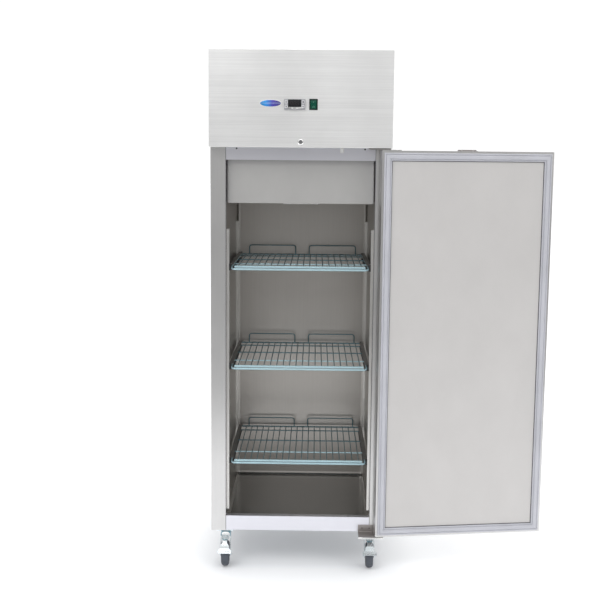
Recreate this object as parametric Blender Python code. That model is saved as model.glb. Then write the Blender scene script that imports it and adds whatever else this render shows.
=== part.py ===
"""A one-door reach-in refrigerator on casters, modelled with its door open.

Shapes are written in the cabinet's own coordinates: X runs across from the cabinet's middle,
Y runs back from the front of the top panel, and Z runs up from the floor. The door's pieces are
written as they lie when it is shut, and their parent empty swings them open. A root empty then
moves everything so that the middle of the whole footprint is at the origin.
"""

import math

import bmesh
import bpy
from mathutils import Matrix, Vector

# Driving dimensions, in metres.
WIDTH = 0.680
DEPTH = 0.710
HEIGHT = 2.000
CASTER_HEIGHT = 0.150
ROOF_Z = 1.700
FASCIA_BOTTOM = 1.645
FACE_Y = 0.062
STILE_WIDTH = 0.058
SILL_TOP = 0.2095
HEADER_BOTTOM = 1.598
SHEET = 0.001
GAP = 0.0003
BEND = 0.002

# The refrigerated space.
LINER_FRONT = 0.090
LINER_BACK = 0.655
LINER_FLOOR = 0.200
LINER_TOP = 1.630
LINER_COVE = 0.014

# The door, as it lies shut, and how far it stands open.
DOOR_WIDTH = 0.659
DOOR_BOTTOM = 0.152
DOOR_TOP = 1.637
DOOR_FRONT = 0.0015
DOOR_BACK = 0.0515
DOOR_LIP = 0.020
DOOR_OPEN = math.radians(188)
HINGE_X = 0.3141
HINGE_Y = 0.0258
HINGE_PIN = 0.005

# Shelves, their rails and the uprights that carry the rails.
SHELF_LEVELS = {"bottom": 0.425, "middle": 0.802, "top": 1.191}
SHELF_WIDTH = 0.532
SHELF_FRONT = 0.090
SHELF_DEPTH = 0.543
SHELF_ROD = 0.007
SHELF_WIRE = 0.004
SHELF_WIRES = 20
SHELF_PITCH = 0.025
UPRIGHT_FACE = 0.272
UPRIGHT_BOTTOM = 0.225
UPRIGHT_TOP = 1.335
UPRIGHT_WIDTH = 0.024
UPRIGHT_FRONTS = {"front": 0.100, "rear": 0.596}
RAIL_WALL = 0.0012

# Controls on the top panel.
CONTROL_Z = 1.802
CONTROLLER_X = -0.023
SWITCH_X = 0.046
ROCKER_TILT = math.radians(8)
LOCK_Z = 1.665
LOCK_RADIUS = 0.0070
LOCK_REACH = 0.0270

# Casters.
CASTER_X = 0.285
STEM_FRONT_Y = 0.110
AXLE_REAR_Y = 0.625
TRAIL = 0.030
WHEEL_RADIUS = 0.050
AXLE_RADIUS = 0.004
WHEEL_SEGMENTS = 24
FORK_INNER = 0.0175
FORK_OUTER = 0.0198

# Fans.
EVAPORATOR_FAN = (0.0, 0.215)
EVAPORATOR_FLOOR = 1.435
CONDENSER_FAN = (0.165, 1.822)

HALF = WIDTH / 2
OPENING_HALF = HALF - STILE_WIDTH
DOOR_HALF = DOOR_WIDTH / 2


# ---------------------------------------------------------------- shapes


def closed_mesh(bm):
    bmesh.ops.recalc_face_normals(bm, faces=bm.faces)
    return bm


def box(low, high, bevel=0.0, chosen=None, segments=2):
    """A block between two corners. chosen picks the edges to round, by their two ends."""
    bm = bmesh.new()
    bmesh.ops.create_cube(bm, size=1.0)
    low, high = Vector(low), Vector(high)
    for vertex in bm.verts:
        vertex.co = Vector(low[i] if vertex.co[i] < 0 else high[i] for i in range(3))
    if bevel:
        edges = [e for e in bm.edges if chosen is None or chosen(e.verts[0].co, e.verts[1].co)]
        bmesh.ops.bevel(bm, geom=edges, offset=bevel, segments=segments, profile=0.5, affect="EDGES")
    return closed_mesh(bm)


def prism(outline, axis, low, high):
    """An outline extruded along X, Y or Z. Its pairs are (y, z), (x, z) or (x, y)."""
    place = {
        "X": lambda pair, along: (along, pair[0], pair[1]),
        "Y": lambda pair, along: (pair[0], along, pair[1]),
        "Z": lambda pair, along: (pair[0], pair[1], along),
    }[axis]
    bm = bmesh.new()
    ends = [[bm.verts.new(place(pair, along)) for pair in outline] for along in (low, high)]
    bm.faces.new(ends[0])
    bm.faces.new(ends[1])
    for i in range(len(outline)):
        j = (i + 1) % len(outline)
        bm.faces.new((ends[0][i], ends[0][j], ends[1][j], ends[1][i]))
    return closed_mesh(bm)


def turned(profile, axis, centre, segments=32, hollow=False, phase=0.0):
    """(radius, distance along) points turned about an axis. A hollow profile is a closed loop."""
    sides = {"X": (1, 2, 0), "Y": (2, 0, 1), "Z": (0, 1, 2)}[axis]
    bm = bmesh.new()
    rings = []
    for radius, along in profile:
        ring = []
        for step in range(segments):
            angle = 2 * math.pi * step / segments + phase
            point = [0.0, 0.0, 0.0]
            point[sides[0]] = radius * math.cos(angle)
            point[sides[1]] = radius * math.sin(angle)
            point[sides[2]] = along
            ring.append(bm.verts.new(Vector(point) + Vector(centre)))
        rings.append(ring)
    pairs = list(zip(rings, rings[1:]))
    if hollow:
        pairs.append((rings[-1], rings[0]))
    else:
        bm.faces.new(rings[0])
        bm.faces.new(rings[-1])
    for first, second in pairs:
        for i in range(segments):
            j = (i + 1) % segments
            bm.faces.new((first[i], first[j], second[j], second[i]))
    return closed_mesh(bm)


def rod(axis, centre, radius, length, segments=20):
    """A round bar that starts at centre and runs along an axis."""
    return turned([(radius, 0.0), (radius, length)], axis, centre, segments)


def frame_loop(profile, x_half, z_low, z_high):
    """A mitred rectangular frame: each profile point is (inset from the edge, y)."""
    bm = bmesh.new()
    loops = []
    for inset, y in profile:
        x, low, high = x_half - inset, z_low + inset, z_high - inset
        loops.append([bm.verts.new(p) for p in ((-x, y, low), (x, y, low), (x, y, high), (-x, y, high))])
    for first, second in zip(loops, loops[1:] + loops[:1]):
        for i in range(4):
            j = (i + 1) % 4
            bm.faces.new((first[i], first[j], second[j], second[i]))
    return closed_mesh(bm)


def rounded(path, radius, steps=3):
    """The path with each inner corner replaced by a short arc."""
    points = [Vector(path[0])]
    for before, corner, after in zip(path, path[1:], path[2:]):
        before, corner, after = Vector(before), Vector(corner), Vector(after)
        start = corner + (before - corner).normalized() * radius
        end = corner + (after - corner).normalized() * radius
        for step in range(steps + 1):
            t = step / steps
            points.append((1 - t) ** 2 * start + 2 * t * (1 - t) * corner + t**2 * end)
    points.append(Vector(path[-1]))
    return points


def folded_sheet(path, thickness=SHEET, bend=BEND):
    """The outline of a sheet folded along a path, which is its outer face; the metal is to its left."""
    outer = rounded(path, bend)
    inner = []
    for i, point in enumerate(outer):
        before = outer[max(i - 1, 0)]
        after = outer[min(i + 1, len(outer) - 1)]
        one = (point - before).normalized() if i else (after - point).normalized()
        two = (after - point).normalized() if i < len(outer) - 1 else one
        normal = (Vector((-one.y, one.x)) + Vector((-two.y, two.x))).normalized()
        reach = thickness / max(normal.dot(Vector((-one.y, one.x))), 0.5)
        inner.append(point + normal * reach)
    return [tuple(p) for p in outer + inner[::-1]]


def mirrored(outline):
    return [(-x, y) for x, y in outline]


# ---------------------------------------------------------------- objects


def clear_scene():
    for item in list(bpy.data.objects):
        bpy.data.objects.remove(item, do_unlink=True)


def material(name, colour, roughness, metallic=0.0):
    made = bpy.data.materials.new(name)
    made.use_nodes = True
    shader = made.node_tree.nodes["Principled BSDF"]
    shader.inputs["Base Color"].default_value = (*colour, 1.0)
    shader.inputs["Roughness"].default_value = roughness
    shader.inputs["Metallic"].default_value = metallic
    made.diffuse_color = (*colour, 1.0)
    return made


def empty(name, at, parent=None, rotation=(0.0, 0.0, 0.0)):
    """An axis or a frame of reference. at is in the cabinet's coordinates."""
    made = bpy.data.objects.new(name, None)
    made.empty_display_size = 0.03
    bpy.context.scene.collection.objects.link(made)
    made.parent = parent
    made["at"] = at
    made.location = Vector(at) - Vector(parent["at"] if parent else (0.0, 0.0, 0.0))
    made.rotation_euler = rotation
    return made


def mesh_object(name, bm, frame, collection=None):
    bmesh.ops.transform(bm, matrix=Matrix.Translation(-Vector(frame["at"])), verts=bm.verts)
    mesh = bpy.data.meshes.new(name)
    bm.to_mesh(mesh)
    bm.free()
    made = bpy.data.objects.new(name, mesh)
    (collection or bpy.context.scene.collection).objects.link(made)
    made.parent = frame
    return made


def solid(name, look, frame, shapes, cuts=(), smooth=False):
    """One closed body: the shapes joined together, less the cuts."""
    body = mesh_object(name, shapes[0], frame)
    for operation, pieces in (("UNION", shapes[1:]), ("DIFFERENCE", cuts)):
        for i, piece in enumerate(pieces):
            helper = mesh_object(f"{name}.{operation.lower()}.{i}", piece, frame)
            helper.hide_render = True
            helper.display_type = "WIRE"
            modifier = body.modifiers.new(f"{operation.title()} {i}", "BOOLEAN")
            modifier.operation = operation
            modifier.object = helper
            modifier.solver = "EXACT"
    (colour, roughness, metallic) = LOOKS[look]
    body.data.materials.append(material(name, colour, roughness, metallic))
    if smooth:
        body.data.shade_smooth()
        body.data.set_sharp_from_angle(angle=math.radians(35))
    return body


LOOKS = {
    "stainless": ((0.66, 0.66, 0.65), 0.30, 1.0),
    "galvanised": ((0.52, 0.54, 0.56), 0.45, 0.9),
    "liner_steel": ((0.60, 0.58, 0.56), 0.38, 0.9),
    "foam": ((0.80, 0.70, 0.45), 0.95, 0.0),
    "frame_grey": ((0.60, 0.60, 0.65), 0.35, 0.0),
    "panel_grey": ((0.66, 0.65, 0.63), 0.45, 0.6),
    "gasket_grey": ((0.52, 0.52, 0.57), 0.60, 0.0),
    "zinc": ((0.74, 0.78, 0.80), 0.28, 1.0),
    "bracket": ((0.42, 0.40, 0.39), 0.40, 0.9),
    "rail_dark": ((0.10, 0.10, 0.10), 0.45, 0.6),
    "coated_wire": ((0.35, 0.52, 0.56), 0.35, 0.2),
    "control_grey": ((0.55, 0.56, 0.58), 0.45, 0.0),
    "black_plastic": ((0.02, 0.02, 0.02), 0.40, 0.0),
    "green_plastic": ((0.01, 0.20, 0.12), 0.25, 0.0),
    "white_plastic": ((0.85, 0.85, 0.85), 0.40, 0.0),
    "tyre": ((0.10, 0.11, 0.13), 0.60, 0.0),
    "black_paint": ((0.02, 0.02, 0.02), 0.35, 0.2),
    "fins": ((0.72, 0.73, 0.74), 0.35, 1.0),
}


# ---------------------------------------------------------------- cabinet


def side_panels(root):
    """Each side, its front stile and its rear return are one folded sheet."""
    rear = DEPTH - SHEET - GAP
    left = folded_sheet([
        (-HALF + 0.022, rear), (-HALF, rear), (-HALF, FACE_Y), (-OPENING_HALF, FACE_Y),
    ])
    solid("side_panel_left", "stainless", root, [prism(left, "Z", CASTER_HEIGHT, HEIGHT)])
    notch = box((OPENING_HALF - 0.002, 0.055, 0.100), (0.3345, 0.066, 0.1795))
    right = prism(mirrored(left), "Z", CASTER_HEIGHT, HEIGHT)
    solid("side_panel_right", "stainless", root, [right], [notch])


def rear_panel(root):
    """The back sheet laps over the sides, and has cooling slots behind the refrigeration unit."""
    sheet = box((-0.3385, DEPTH - SHEET, 0.1503), (0.3385, DEPTH, HEIGHT - GAP))
    slots = [
        box((x - 0.095, DEPTH - 0.01, z), (x + 0.095, DEPTH + 0.01, z + 0.010))
        for x in (-0.150, 0.150)
        for z in [1.765 + 0.026 * row for row in range(8)]
    ]
    solid("rear_panel", "galvanised", root, [sheet], slots)


def pan(x_half, y_low, y_high, z_low, z_high, wall):
    """A shallow tray: its outer block and the block that hollows it from above."""
    outer = box((-x_half, y_low, z_low), (x_half, y_high, z_high))
    hollow = box((wall - x_half, y_low + wall, z_low + wall), (x_half - wall, y_high - wall, z_high + 0.1))
    return outer, hollow


def floor_and_roof(root):
    wall = 0.0012
    outer, hollow = pan(0.3385, 0.0677, DEPTH - 0.0027, 0.1503, 0.1753, wall)
    solid("base_panel", "galvanised", root, [outer], [hollow])
    outer, hollow = pan(0.3385, 0.0677, DEPTH - 0.0027, ROOF_Z, ROOF_Z + 0.020, wall)
    pipe_hole = rod("Z", (-0.260, 0.620, ROOF_Z - 0.05), 0.022, 0.2)
    solid("roof_deck", "galvanised", root, [outer], [hollow, pipe_hole])


def insulation(root):
    """The foamed-in-place shell between the outer sheets and the liner."""
    foam = box((-0.3368, LINER_FRONT, 0.1520), (0.3368, DEPTH - 0.0045, ROOF_Z - 0.0005))
    clear = SHEET + 0.0005
    cavity = box(
        (-OPENING_HALF - clear, 0.0, LINER_FLOOR - clear),
        (OPENING_HALF + clear, LINER_BACK + clear, LINER_TOP + clear),
    )
    solid("cabinet_insulation", "foam", root, [foam], [cavity])


def liner(root):
    """The inner tank: one sheet box, open in front, with coved edges at its floor and back."""

    def coved(one, two):
        low = one.z < LINER_FLOOR + 0.01 and two.z < LINER_FLOOR + 0.01
        back = one.y > LINER_BACK - 0.01 and two.y > LINER_BACK - 0.01
        front = one.y < LINER_FRONT + 0.01 and two.y < LINER_FRONT + 0.01
        return (low or back) and not front

    def tank(grow, front, cove):
        low = (-OPENING_HALF - grow, front, LINER_FLOOR - grow)
        high = (OPENING_HALF + grow, LINER_BACK + grow, LINER_TOP + grow)
        return box(low, high, cove, coved, 3)

    outer = tank(SHEET, LINER_FRONT, LINER_COVE + SHEET)
    inner = tank(0.0, LINER_FRONT - 0.05, LINER_COVE)
    solid("inner_liner", "liner_steel", root, [outer], [inner])


def opening_frame(root):
    """The sill, header and jambs round the doorway, as one moulded surround."""
    plate = box((-0.3383, FACE_Y + 0.0013, 0.1520), (0.3383, 0.0672, ROOF_Z - 0.0007))
    face = box((-OPENING_HALF + GAP, FACE_Y + 0.0002, 0.1520), (OPENING_HALF - GAP, 0.0640, ROOF_Z - 0.0007))
    lip = box(
        (-OPENING_HALF - 0.002, 0.0660, SILL_TOP - 0.002),
        (OPENING_HALF + 0.002, LINER_FRONT - 0.0007, HEADER_BOTTOM + 0.002),
    )
    doorway = box((-OPENING_HALF, 0.0, SILL_TOP), (OPENING_HALF, 0.2, HEADER_BOTTOM))
    plunger_hole = box((0.1506, 0.0, 1.6293), (0.1594, 0.2, 1.6450))
    hinge_pocket = box((0.2375, 0.050, 0.100), (0.3345, 0.0649, 0.1795))
    cuts = [doorway, plunger_hole, hinge_pocket]
    solid("opening_frame", "frame_grey", root, [plate, face, lip], cuts)


def fascia(root):
    """The top front panel: a pan open at the back, cut out for the controls, lock and hinge."""
    back = FACE_Y - 0.0005

    def outer_edge(one, two):
        return one.y < 0.001 and two.y < 0.001

    shell = box((-HALF, 0.0, FASCIA_BOTTOM), (HALF, back, HEIGHT), 0.0012, outer_edge)
    hollow = box(
        (SHEET - HALF, SHEET, FASCIA_BOTTOM + SHEET), (HALF - SHEET, back + 0.01, HEIGHT - SHEET)
    )
    cuts = [
        hollow,
        box((CONTROLLER_X - 0.0356, -0.01, CONTROL_Z - 0.0146), (CONTROLLER_X + 0.0356, 0.01, CONTROL_Z + 0.0146)),
        box((SWITCH_X - 0.0136, -0.01, CONTROL_Z - 0.0186), (SWITCH_X + 0.0136, 0.01, CONTROL_Z + 0.0186)),
        rod("Y", (0.0, -0.01, LOCK_Z), LOCK_RADIUS + GAP, 0.02, 24),
        box((-0.0065, 0.0115, FASCIA_BOTTOM - 0.01), (0.0235, 0.0175, FASCIA_BOTTOM + 0.005)),
        box((0.2500, 0.0575, FASCIA_BOTTOM - 0.01), (0.3365, 0.08, FASCIA_BOTTOM + 0.0015)),
    ]
    solid("fascia_panel", "stainless", root, [shell], cuts)


# ---------------------------------------------------------------- controls


KEY_HALF = (0.0057, 0.0064)
KEY_TRAVEL_FACE = -0.0095
KEY_BACK = -0.0060


def key_centres():
    """The four keys stand in pairs at the two ends of the controller."""
    for side, x in (("left", CONTROLLER_X - 0.0310), ("right", CONTROLLER_X + 0.0310)):
        for level, z in (("lower", CONTROL_Z - 0.0078), ("upper", CONTROL_Z + 0.0082)):
            yield f"controller_key_{side}_{level}", x, z


def controller(root):
    bezel = box(
        (CONTROLLER_X - 0.0385, -0.0085, CONTROL_Z - 0.0185),
        (CONTROLLER_X + 0.0385, -GAP, CONTROL_Z + 0.0185),
        0.0015, lambda one, two: one.y < -0.008 and two.y < -0.008,
    )
    case = box((CONTROLLER_X - 0.0352, -0.002, CONTROL_Z - 0.0142), (CONTROLLER_X + 0.0352, 0.050, CONTROL_Z + 0.0142))
    window = box((CONTROLLER_X - 0.0225, -0.02, CONTROL_Z - 0.0095), (CONTROLLER_X + 0.0225, -0.0075, CONTROL_Z + 0.0165))
    pockets = [
        box(
            (x - KEY_HALF[0] - GAP, -0.02, z - KEY_HALF[1] - GAP),
            (x + KEY_HALF[0] + GAP, KEY_BACK + 0.0009, z + KEY_HALF[1] + GAP),
        )
        for _, x, z in key_centres()
    ]
    solid("controller_housing", "control_grey", root, [bezel, case], [window, *pockets])
    for name, x, z in key_centres():
        axis = empty(f"{name}_slide", (x, KEY_BACK, z), root)
        cap = box(
            (x - KEY_HALF[0], KEY_TRAVEL_FACE, z - KEY_HALF[1]),
            (x + KEY_HALF[0], KEY_BACK, z + KEY_HALF[1]),
            0.0008, lambda one, two: one.y < KEY_TRAVEL_FACE + 1e-4 and two.y < KEY_TRAVEL_FACE + 1e-4,
        )
        solid(name, "control_grey", axis, [cap])


def power_switch(root):
    flange = box(
        (SWITCH_X - 0.0155, -0.0030, CONTROL_Z - 0.0200), (SWITCH_X + 0.0155, -GAP, CONTROL_Z + 0.0200),
        0.0012, lambda one, two: one.y < -0.002 and two.y < -0.002,
    )
    case = box((SWITCH_X - 0.0132, -0.001, CONTROL_Z - 0.0182), (SWITCH_X + 0.0132, 0.028, CONTROL_Z + 0.0182))
    well = box((SWITCH_X - 0.0115, -0.02, CONTROL_Z - 0.0168), (SWITCH_X + 0.0115, 0.0100, CONTROL_Z + 0.0168))
    solid("switch_bezel", "green_plastic", root, [flange, case], [well])
    axis = empty("switch_axis", (SWITCH_X, 0.0, CONTROL_Z), root, (ROCKER_TILT, 0.0, 0.0))
    rocker = [
        (-0.0045, 0.0148), (-0.0012, 0.0), (-0.0045, -0.0148), (0.0010, -0.0155),
        (0.0070, -0.0060), (0.0070, 0.0060), (0.0010, 0.0155),
    ]
    outline = [(y, CONTROL_Z + z) for y, z in rocker]
    solid("switch_rocker", "green_plastic", axis, [prism(outline, "X", SWITCH_X - 0.0110, SWITCH_X + 0.0110)])


def lock(root):
    """The cylinder lock's plug, with the cam on its tail. Turned a quarter, the cam points down."""
    axis = empty("lock_axis", (0.0, 0.0, LOCK_Z), root)
    plug = rod("Y", (0.0, -0.0020, LOCK_Z), LOCK_RADIUS, 0.0165, 24)
    cam = box((-0.0050, 0.0130, LOCK_Z - 0.0045), (LOCK_REACH - 0.0005, 0.0155, LOCK_Z + 0.0045))
    keyway = box((-0.0008, -0.01, LOCK_Z - 0.0042), (0.0008, 0.0030, LOCK_Z + 0.0042))
    solid("lock_plug", "zinc", axis, [plug, cam], [keyway], smooth=True)


def door_switch(root):
    axis = empty("door_switch_slide", (0.155, 0.0530, 1.637), root)
    plunger = box(
        (0.1512, 0.0530, 1.6300), (0.1588, 0.0735, 1.6442),
        0.0015, lambda one, two: one.y < 0.054 and two.y < 0.054,
    )
    solid("door_switch_plunger", "white_plastic", axis, [plunger])


# ---------------------------------------------------------------- refrigeration unit


def compressor(root):
    """A welded pot on a base with four rubber feet. The pot is hollow underneath."""
    x, y, deck = -0.165, 0.420, ROOF_Z + 0.0015
    profile = [
        (0.070, 0.016), (0.084, 0.026), (0.088, 0.075), (0.086, 0.078), (0.086, 0.092), (0.083, 0.096),
        (0.078, 0.140), (0.062, 0.163), (0.035, 0.174), (0.008, 0.177),
    ]
    pot = turned(profile, "Z", (x, y, deck), 32)
    plate = box((x - 0.105, y - 0.075, deck + 0.012), (x + 0.105, y + 0.075, deck + 0.0175))
    terminals = box((x + 0.060, y - 0.035, deck + 0.045), (x + 0.118, y + 0.035, deck + 0.125), 0.006)
    feet = [
        rod("Z", (x + i * 0.085, y + j * 0.055, deck), 0.013, 0.0135, 16) for i in (-1, 1) for j in (-1, 1)
    ]
    inside = rod("Z", (x, y, deck - 0.01), 0.068, 0.145, 32)
    solid("compressor", "black_paint", root, [pot, plate, terminals, *feet], [inside], smooth=True)


def comb(x_low, x_high, base, tip, thick, count):
    """The outline of a row of fins that stand on one bar."""
    pitch = (x_high - x_low - thick) / (count - 1)
    outline = [(x_high, base), (x_low, base)]
    root_line = base + (0.006 if tip > base else -0.006)
    for i in range(count):
        x = x_low + i * pitch
        if i:
            outline.append((x, root_line))
        outline += [(x, tip), (x + thick, tip)]
        if i < count - 1:
            outline.append((x + thick, root_line))
    return outline


def condenser(root):
    deck = ROOF_Z + 0.0015
    fins = prism(comb(0.030, 0.310, deck, 1.935, 0.0016, 28), "Y", 0.130, 0.178)
    header = box((0.028, 0.126, 1.9340), (0.312, 0.182, 1.9400))
    solid("condenser_coil", "fins", root, [fins, header])

    x, z = CONDENSER_FAN
    motor = turned([(0.030, 0.0), (0.036, 0.004), (0.036, 0.046), (0.026, 0.050)], "Y", (x, 0.236, z), 24)
    post = box((x - 0.012, 0.255, deck), (x + 0.012, 0.258, z))
    foot = box((x - 0.045, 0.245, deck), (x + 0.045, 0.285, deck + 0.003))
    bore = rod("Y", (x, 0.20, z), 0.0034, 0.050, 12)
    solid("condenser_fan_motor", "black_paint", root, [motor, post, foot], [bore], smooth=True)
    axis = empty("condenser_fan_axis", (x, 0.214, z), root)
    fan(axis, "condenser_fan_blade", "Y", (x, 0.214, z), 0.095, 0.024, 5)


def fan(axis_empty, name, axis, centre, radius, hub, blades):
    """A hub with pitched blades and a short shaft that enters the motor."""
    parts = [turned([(hub * 0.8, -0.011), (hub, -0.006), (hub, 0.010)], axis, centre, 20)]
    parts.append(rod(axis, centre, 0.0030, 0.030, 12))
    turn_axis = Vector({"Y": (0, 1, 0), "Z": (0, 0, 1)}[axis])
    for step in range(blades):
        blade = box((hub * 0.6, -0.020, -0.0008), (radius, 0.020, 0.0008))
        for vertex in blade.verts:
            vertex.co.y *= 0.75 + 0.45 * vertex.co.x / radius
        pitch = Matrix.Rotation(math.radians(22), 4, "X")
        lay = Matrix.Rotation(math.radians(90), 4, "X") if axis == "Y" else Matrix.Identity(4)
        turn = Matrix.Rotation(2 * math.pi * step / blades, 4, turn_axis)
        move = Matrix.Translation(centre)
        bmesh.ops.transform(blade, matrix=move @ turn @ lay @ pitch, verts=blade.verts)
        parts.append(blade)
    solid(name, "black_plastic", axis_empty, parts, smooth=True)


def evaporator(root):
    """The finned coil, its fan and the tray-shaped cover that hangs in front of and below them."""
    fan_x, fan_y = EVAPORATOR_FAN
    cover = box((-0.2745, 0.0930, EVAPORATOR_FLOOR), (0.2745, 0.600, 1.628))
    inside = box((-0.2733, 0.0942, EVAPORATOR_FLOOR + 0.0012), (0.2733, 0.700, 1.700))
    hole = rod("Z", (fan_x, fan_y, EVAPORATOR_FLOOR - 0.05), 0.086, 0.1, 32)
    solid("evaporator_cover", "panel_grey", root, [cover], [inside, hole])
    fins = prism(comb(-0.235, 0.235, 1.590, 1.4485, 0.0016, 30), "Y", 0.350, 0.560)
    solid("evaporator_coil", "fins", root, [fins])

    motor = turned([(0.026, 0.0), (0.032, 0.004), (0.032, 0.046), (0.024, 0.050)], "Z", (fan_x, fan_y, 1.463), 24)
    arms = []
    for along in (0, 1):
        half = (0.100, 0.006) if along == 0 else (0.006, 0.100)
        arms.append(box((fan_x - half[0], fan_y - half[1], 1.500), (fan_x + half[0], fan_y + half[1], 1.503)))
        for end in (-1, 1):
            leg_x = fan_x + (end * 0.0985 if along == 0 else 0.0)
            leg_y = fan_y + (0.0 if along == 0 else end * 0.0985)
            wide = (0.0015, 0.006) if along == 0 else (0.006, 0.0015)
            low = (leg_x - wide[0], leg_y - wide[1], EVAPORATOR_FLOOR + 0.0015)
            arms.append(box(low, (leg_x + wide[0], leg_y + wide[1], 1.503)))
    bore = rod("Z", (fan_x, fan_y, 1.440), 0.0034, 0.050, 12)
    solid("evaporator_fan_motor", "black_paint", root, [motor, *arms], [bore], smooth=True)
    centre = (fan_x, fan_y, 1.4500)
    fan(empty("evaporator_fan_axis", centre, root), "evaporator_fan_blade", "Z", centre, 0.080, 0.022, 5)


# ---------------------------------------------------------------- shelves


def uprights(root):
    """Four slotted channels on the liner's side walls."""
    for side, sign in (("left", -1), ("right", 1)):
        for place, front in UPRIGHT_FRONTS.items():
            wall = OPENING_HALF - GAP
            low_x, high_x = sorted((sign * wall, sign * UPRIGHT_FACE))
            low = (low_x, front, UPRIGHT_BOTTOM)
            high = (high_x, front + UPRIGHT_WIDTH, UPRIGHT_TOP)
            skin = 0.0012
            inner_x = sorted((sign * (wall + 0.01), sign * (UPRIGHT_FACE + skin)))
            hollow = box((inner_x[0], front + skin, 0.0), (inner_x[1], front + UPRIGHT_WIDTH - skin, 2.0))
            middle = front + UPRIGHT_WIDTH / 2
            slots = [
                box((min(low_x, high_x) - 0.01, middle - 0.004, z), (max(low_x, high_x) + 0.01, middle + 0.004, z + 0.020))
                for z in [UPRIGHT_BOTTOM + 0.040 + 0.075 * i for i in range(14)]
            ]
            solid(f"pilaster_{place}_{side}", "stainless", root, [box(low, high)], [hollow, *slots])


def rails(root):
    """C-channels that a shelf's edge slides in, one on each side of each shelf."""
    face = UPRIGHT_FACE - GAP
    for level, height in SHELF_LEVELS.items():
        for side, sign in (("left", -1), ("right", 1)):
            low_z, high_z, inner = height - 0.014, height + 0.010, face - 0.016
            outline = [
                (face, low_z), (face, high_z), (inner, high_z), (inner, high_z - RAIL_WALL),
                (face - RAIL_WALL, high_z - RAIL_WALL), (face - RAIL_WALL, low_z + RAIL_WALL),
                (inner, low_z + RAIL_WALL), (inner, low_z),
            ]
            outline = [(sign * x, z) for x, z in outline]
            solid(f"shelf_rail_{level}_{side}", "rail_dark", root, [prism(outline, "Y", 0.099, 0.622)])


def lattice(x_lines, y_lines, z_low, z_high):
    """A flat grid of bars. Each line is (low, high), and the cells between them are open."""
    xs = sorted({edge for line in x_lines for edge in line})
    ys = sorted({edge for line in y_lines for edge in line})

    def filled(i, j):
        middle_x, middle_y = (xs[i] + xs[i + 1]) / 2, (ys[j] + ys[j + 1]) / 2
        return any(a < middle_x < b for a, b in x_lines) or any(a < middle_y < b for a, b in y_lines)

    bm = bmesh.new()
    grid = [[bm.verts.new((x, y, z_low)) for y in ys] for x in xs]
    faces = [
        bm.faces.new((grid[i][j], grid[i + 1][j], grid[i + 1][j + 1], grid[i][j + 1]))
        for i in range(len(xs) - 1)
        for j in range(len(ys) - 1)
        if filled(i, j)
    ]
    raised = bmesh.ops.extrude_face_region(bm, geom=faces, use_keep_orig=True)
    for item in raised["geom"]:
        if isinstance(item, bmesh.types.BMVert):
            item.co.z = z_high
    return closed_mesh(bm)


def shelves(root):
    """Wire shelves: a frame, a grid of wires, a double front bar and two stops at the back."""
    back = SHELF_FRONT + SHELF_DEPTH
    half = SHELF_WIDTH / 2
    middle = SHELF_FRONT + SHELF_DEPTH / 2
    wires = [
        ((i - (SHELF_WIRES - 1) / 2) * SHELF_PITCH - SHELF_WIRE / 2, (i - (SHELF_WIRES - 1) / 2) * SHELF_PITCH + SHELF_WIRE / 2)
        for i in range(SHELF_WIRES)
    ]
    x_lines = [(-half, -half + SHELF_ROD), *wires, (half - SHELF_ROD, half)]
    y_lines = [(SHELF_FRONT, SHELF_FRONT + SHELF_ROD), (middle - 0.003, middle + 0.003), (back - SHELF_ROD, back)]
    for level, z in SHELF_LEVELS.items():
        axis = empty(f"shelf_{level}_slide", (0.0, middle, z), root)
        deck = lattice(x_lines, y_lines, z - SHELF_ROD / 2, z + SHELF_ROD / 2)
        lower_bar = box((-half + 0.012, SHELF_FRONT + 0.0005, z - 0.0135), (half - 0.012, SHELF_FRONT + 0.0065, z - 0.0030))
        stops = []
        for low, high in ((-0.2290, -0.0240), (0.0300, 0.2350)):
            for x in (low, high - 0.005):
                stops.append(box((x, back - 0.006, z - 0.001), (x + 0.005, back - 0.001, z + 0.0425)))
            stops.append(box((low, back - 0.006, z + 0.0375), (high, back - 0.001, z + 0.0425)))
        solid(f"shelf_{level}", "coated_wire", axis, [deck, lower_bar, *stops])


# ---------------------------------------------------------------- door


HANDLE_X = -0.268
HANDLE_Z = 0.985
HANDLE_HALF = (0.035, 0.095)


def handle_block(grow, front, back):
    """The recess of the pull handle, grown by a margin."""
    x, z = HANDLE_HALF[0] - 0.007 + grow, HANDLE_HALF[1] - 0.007 + grow
    return box((HANDLE_X - x, front, HANDLE_Z - z), (HANDLE_X + x, back, HANDLE_Z + z))


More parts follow.
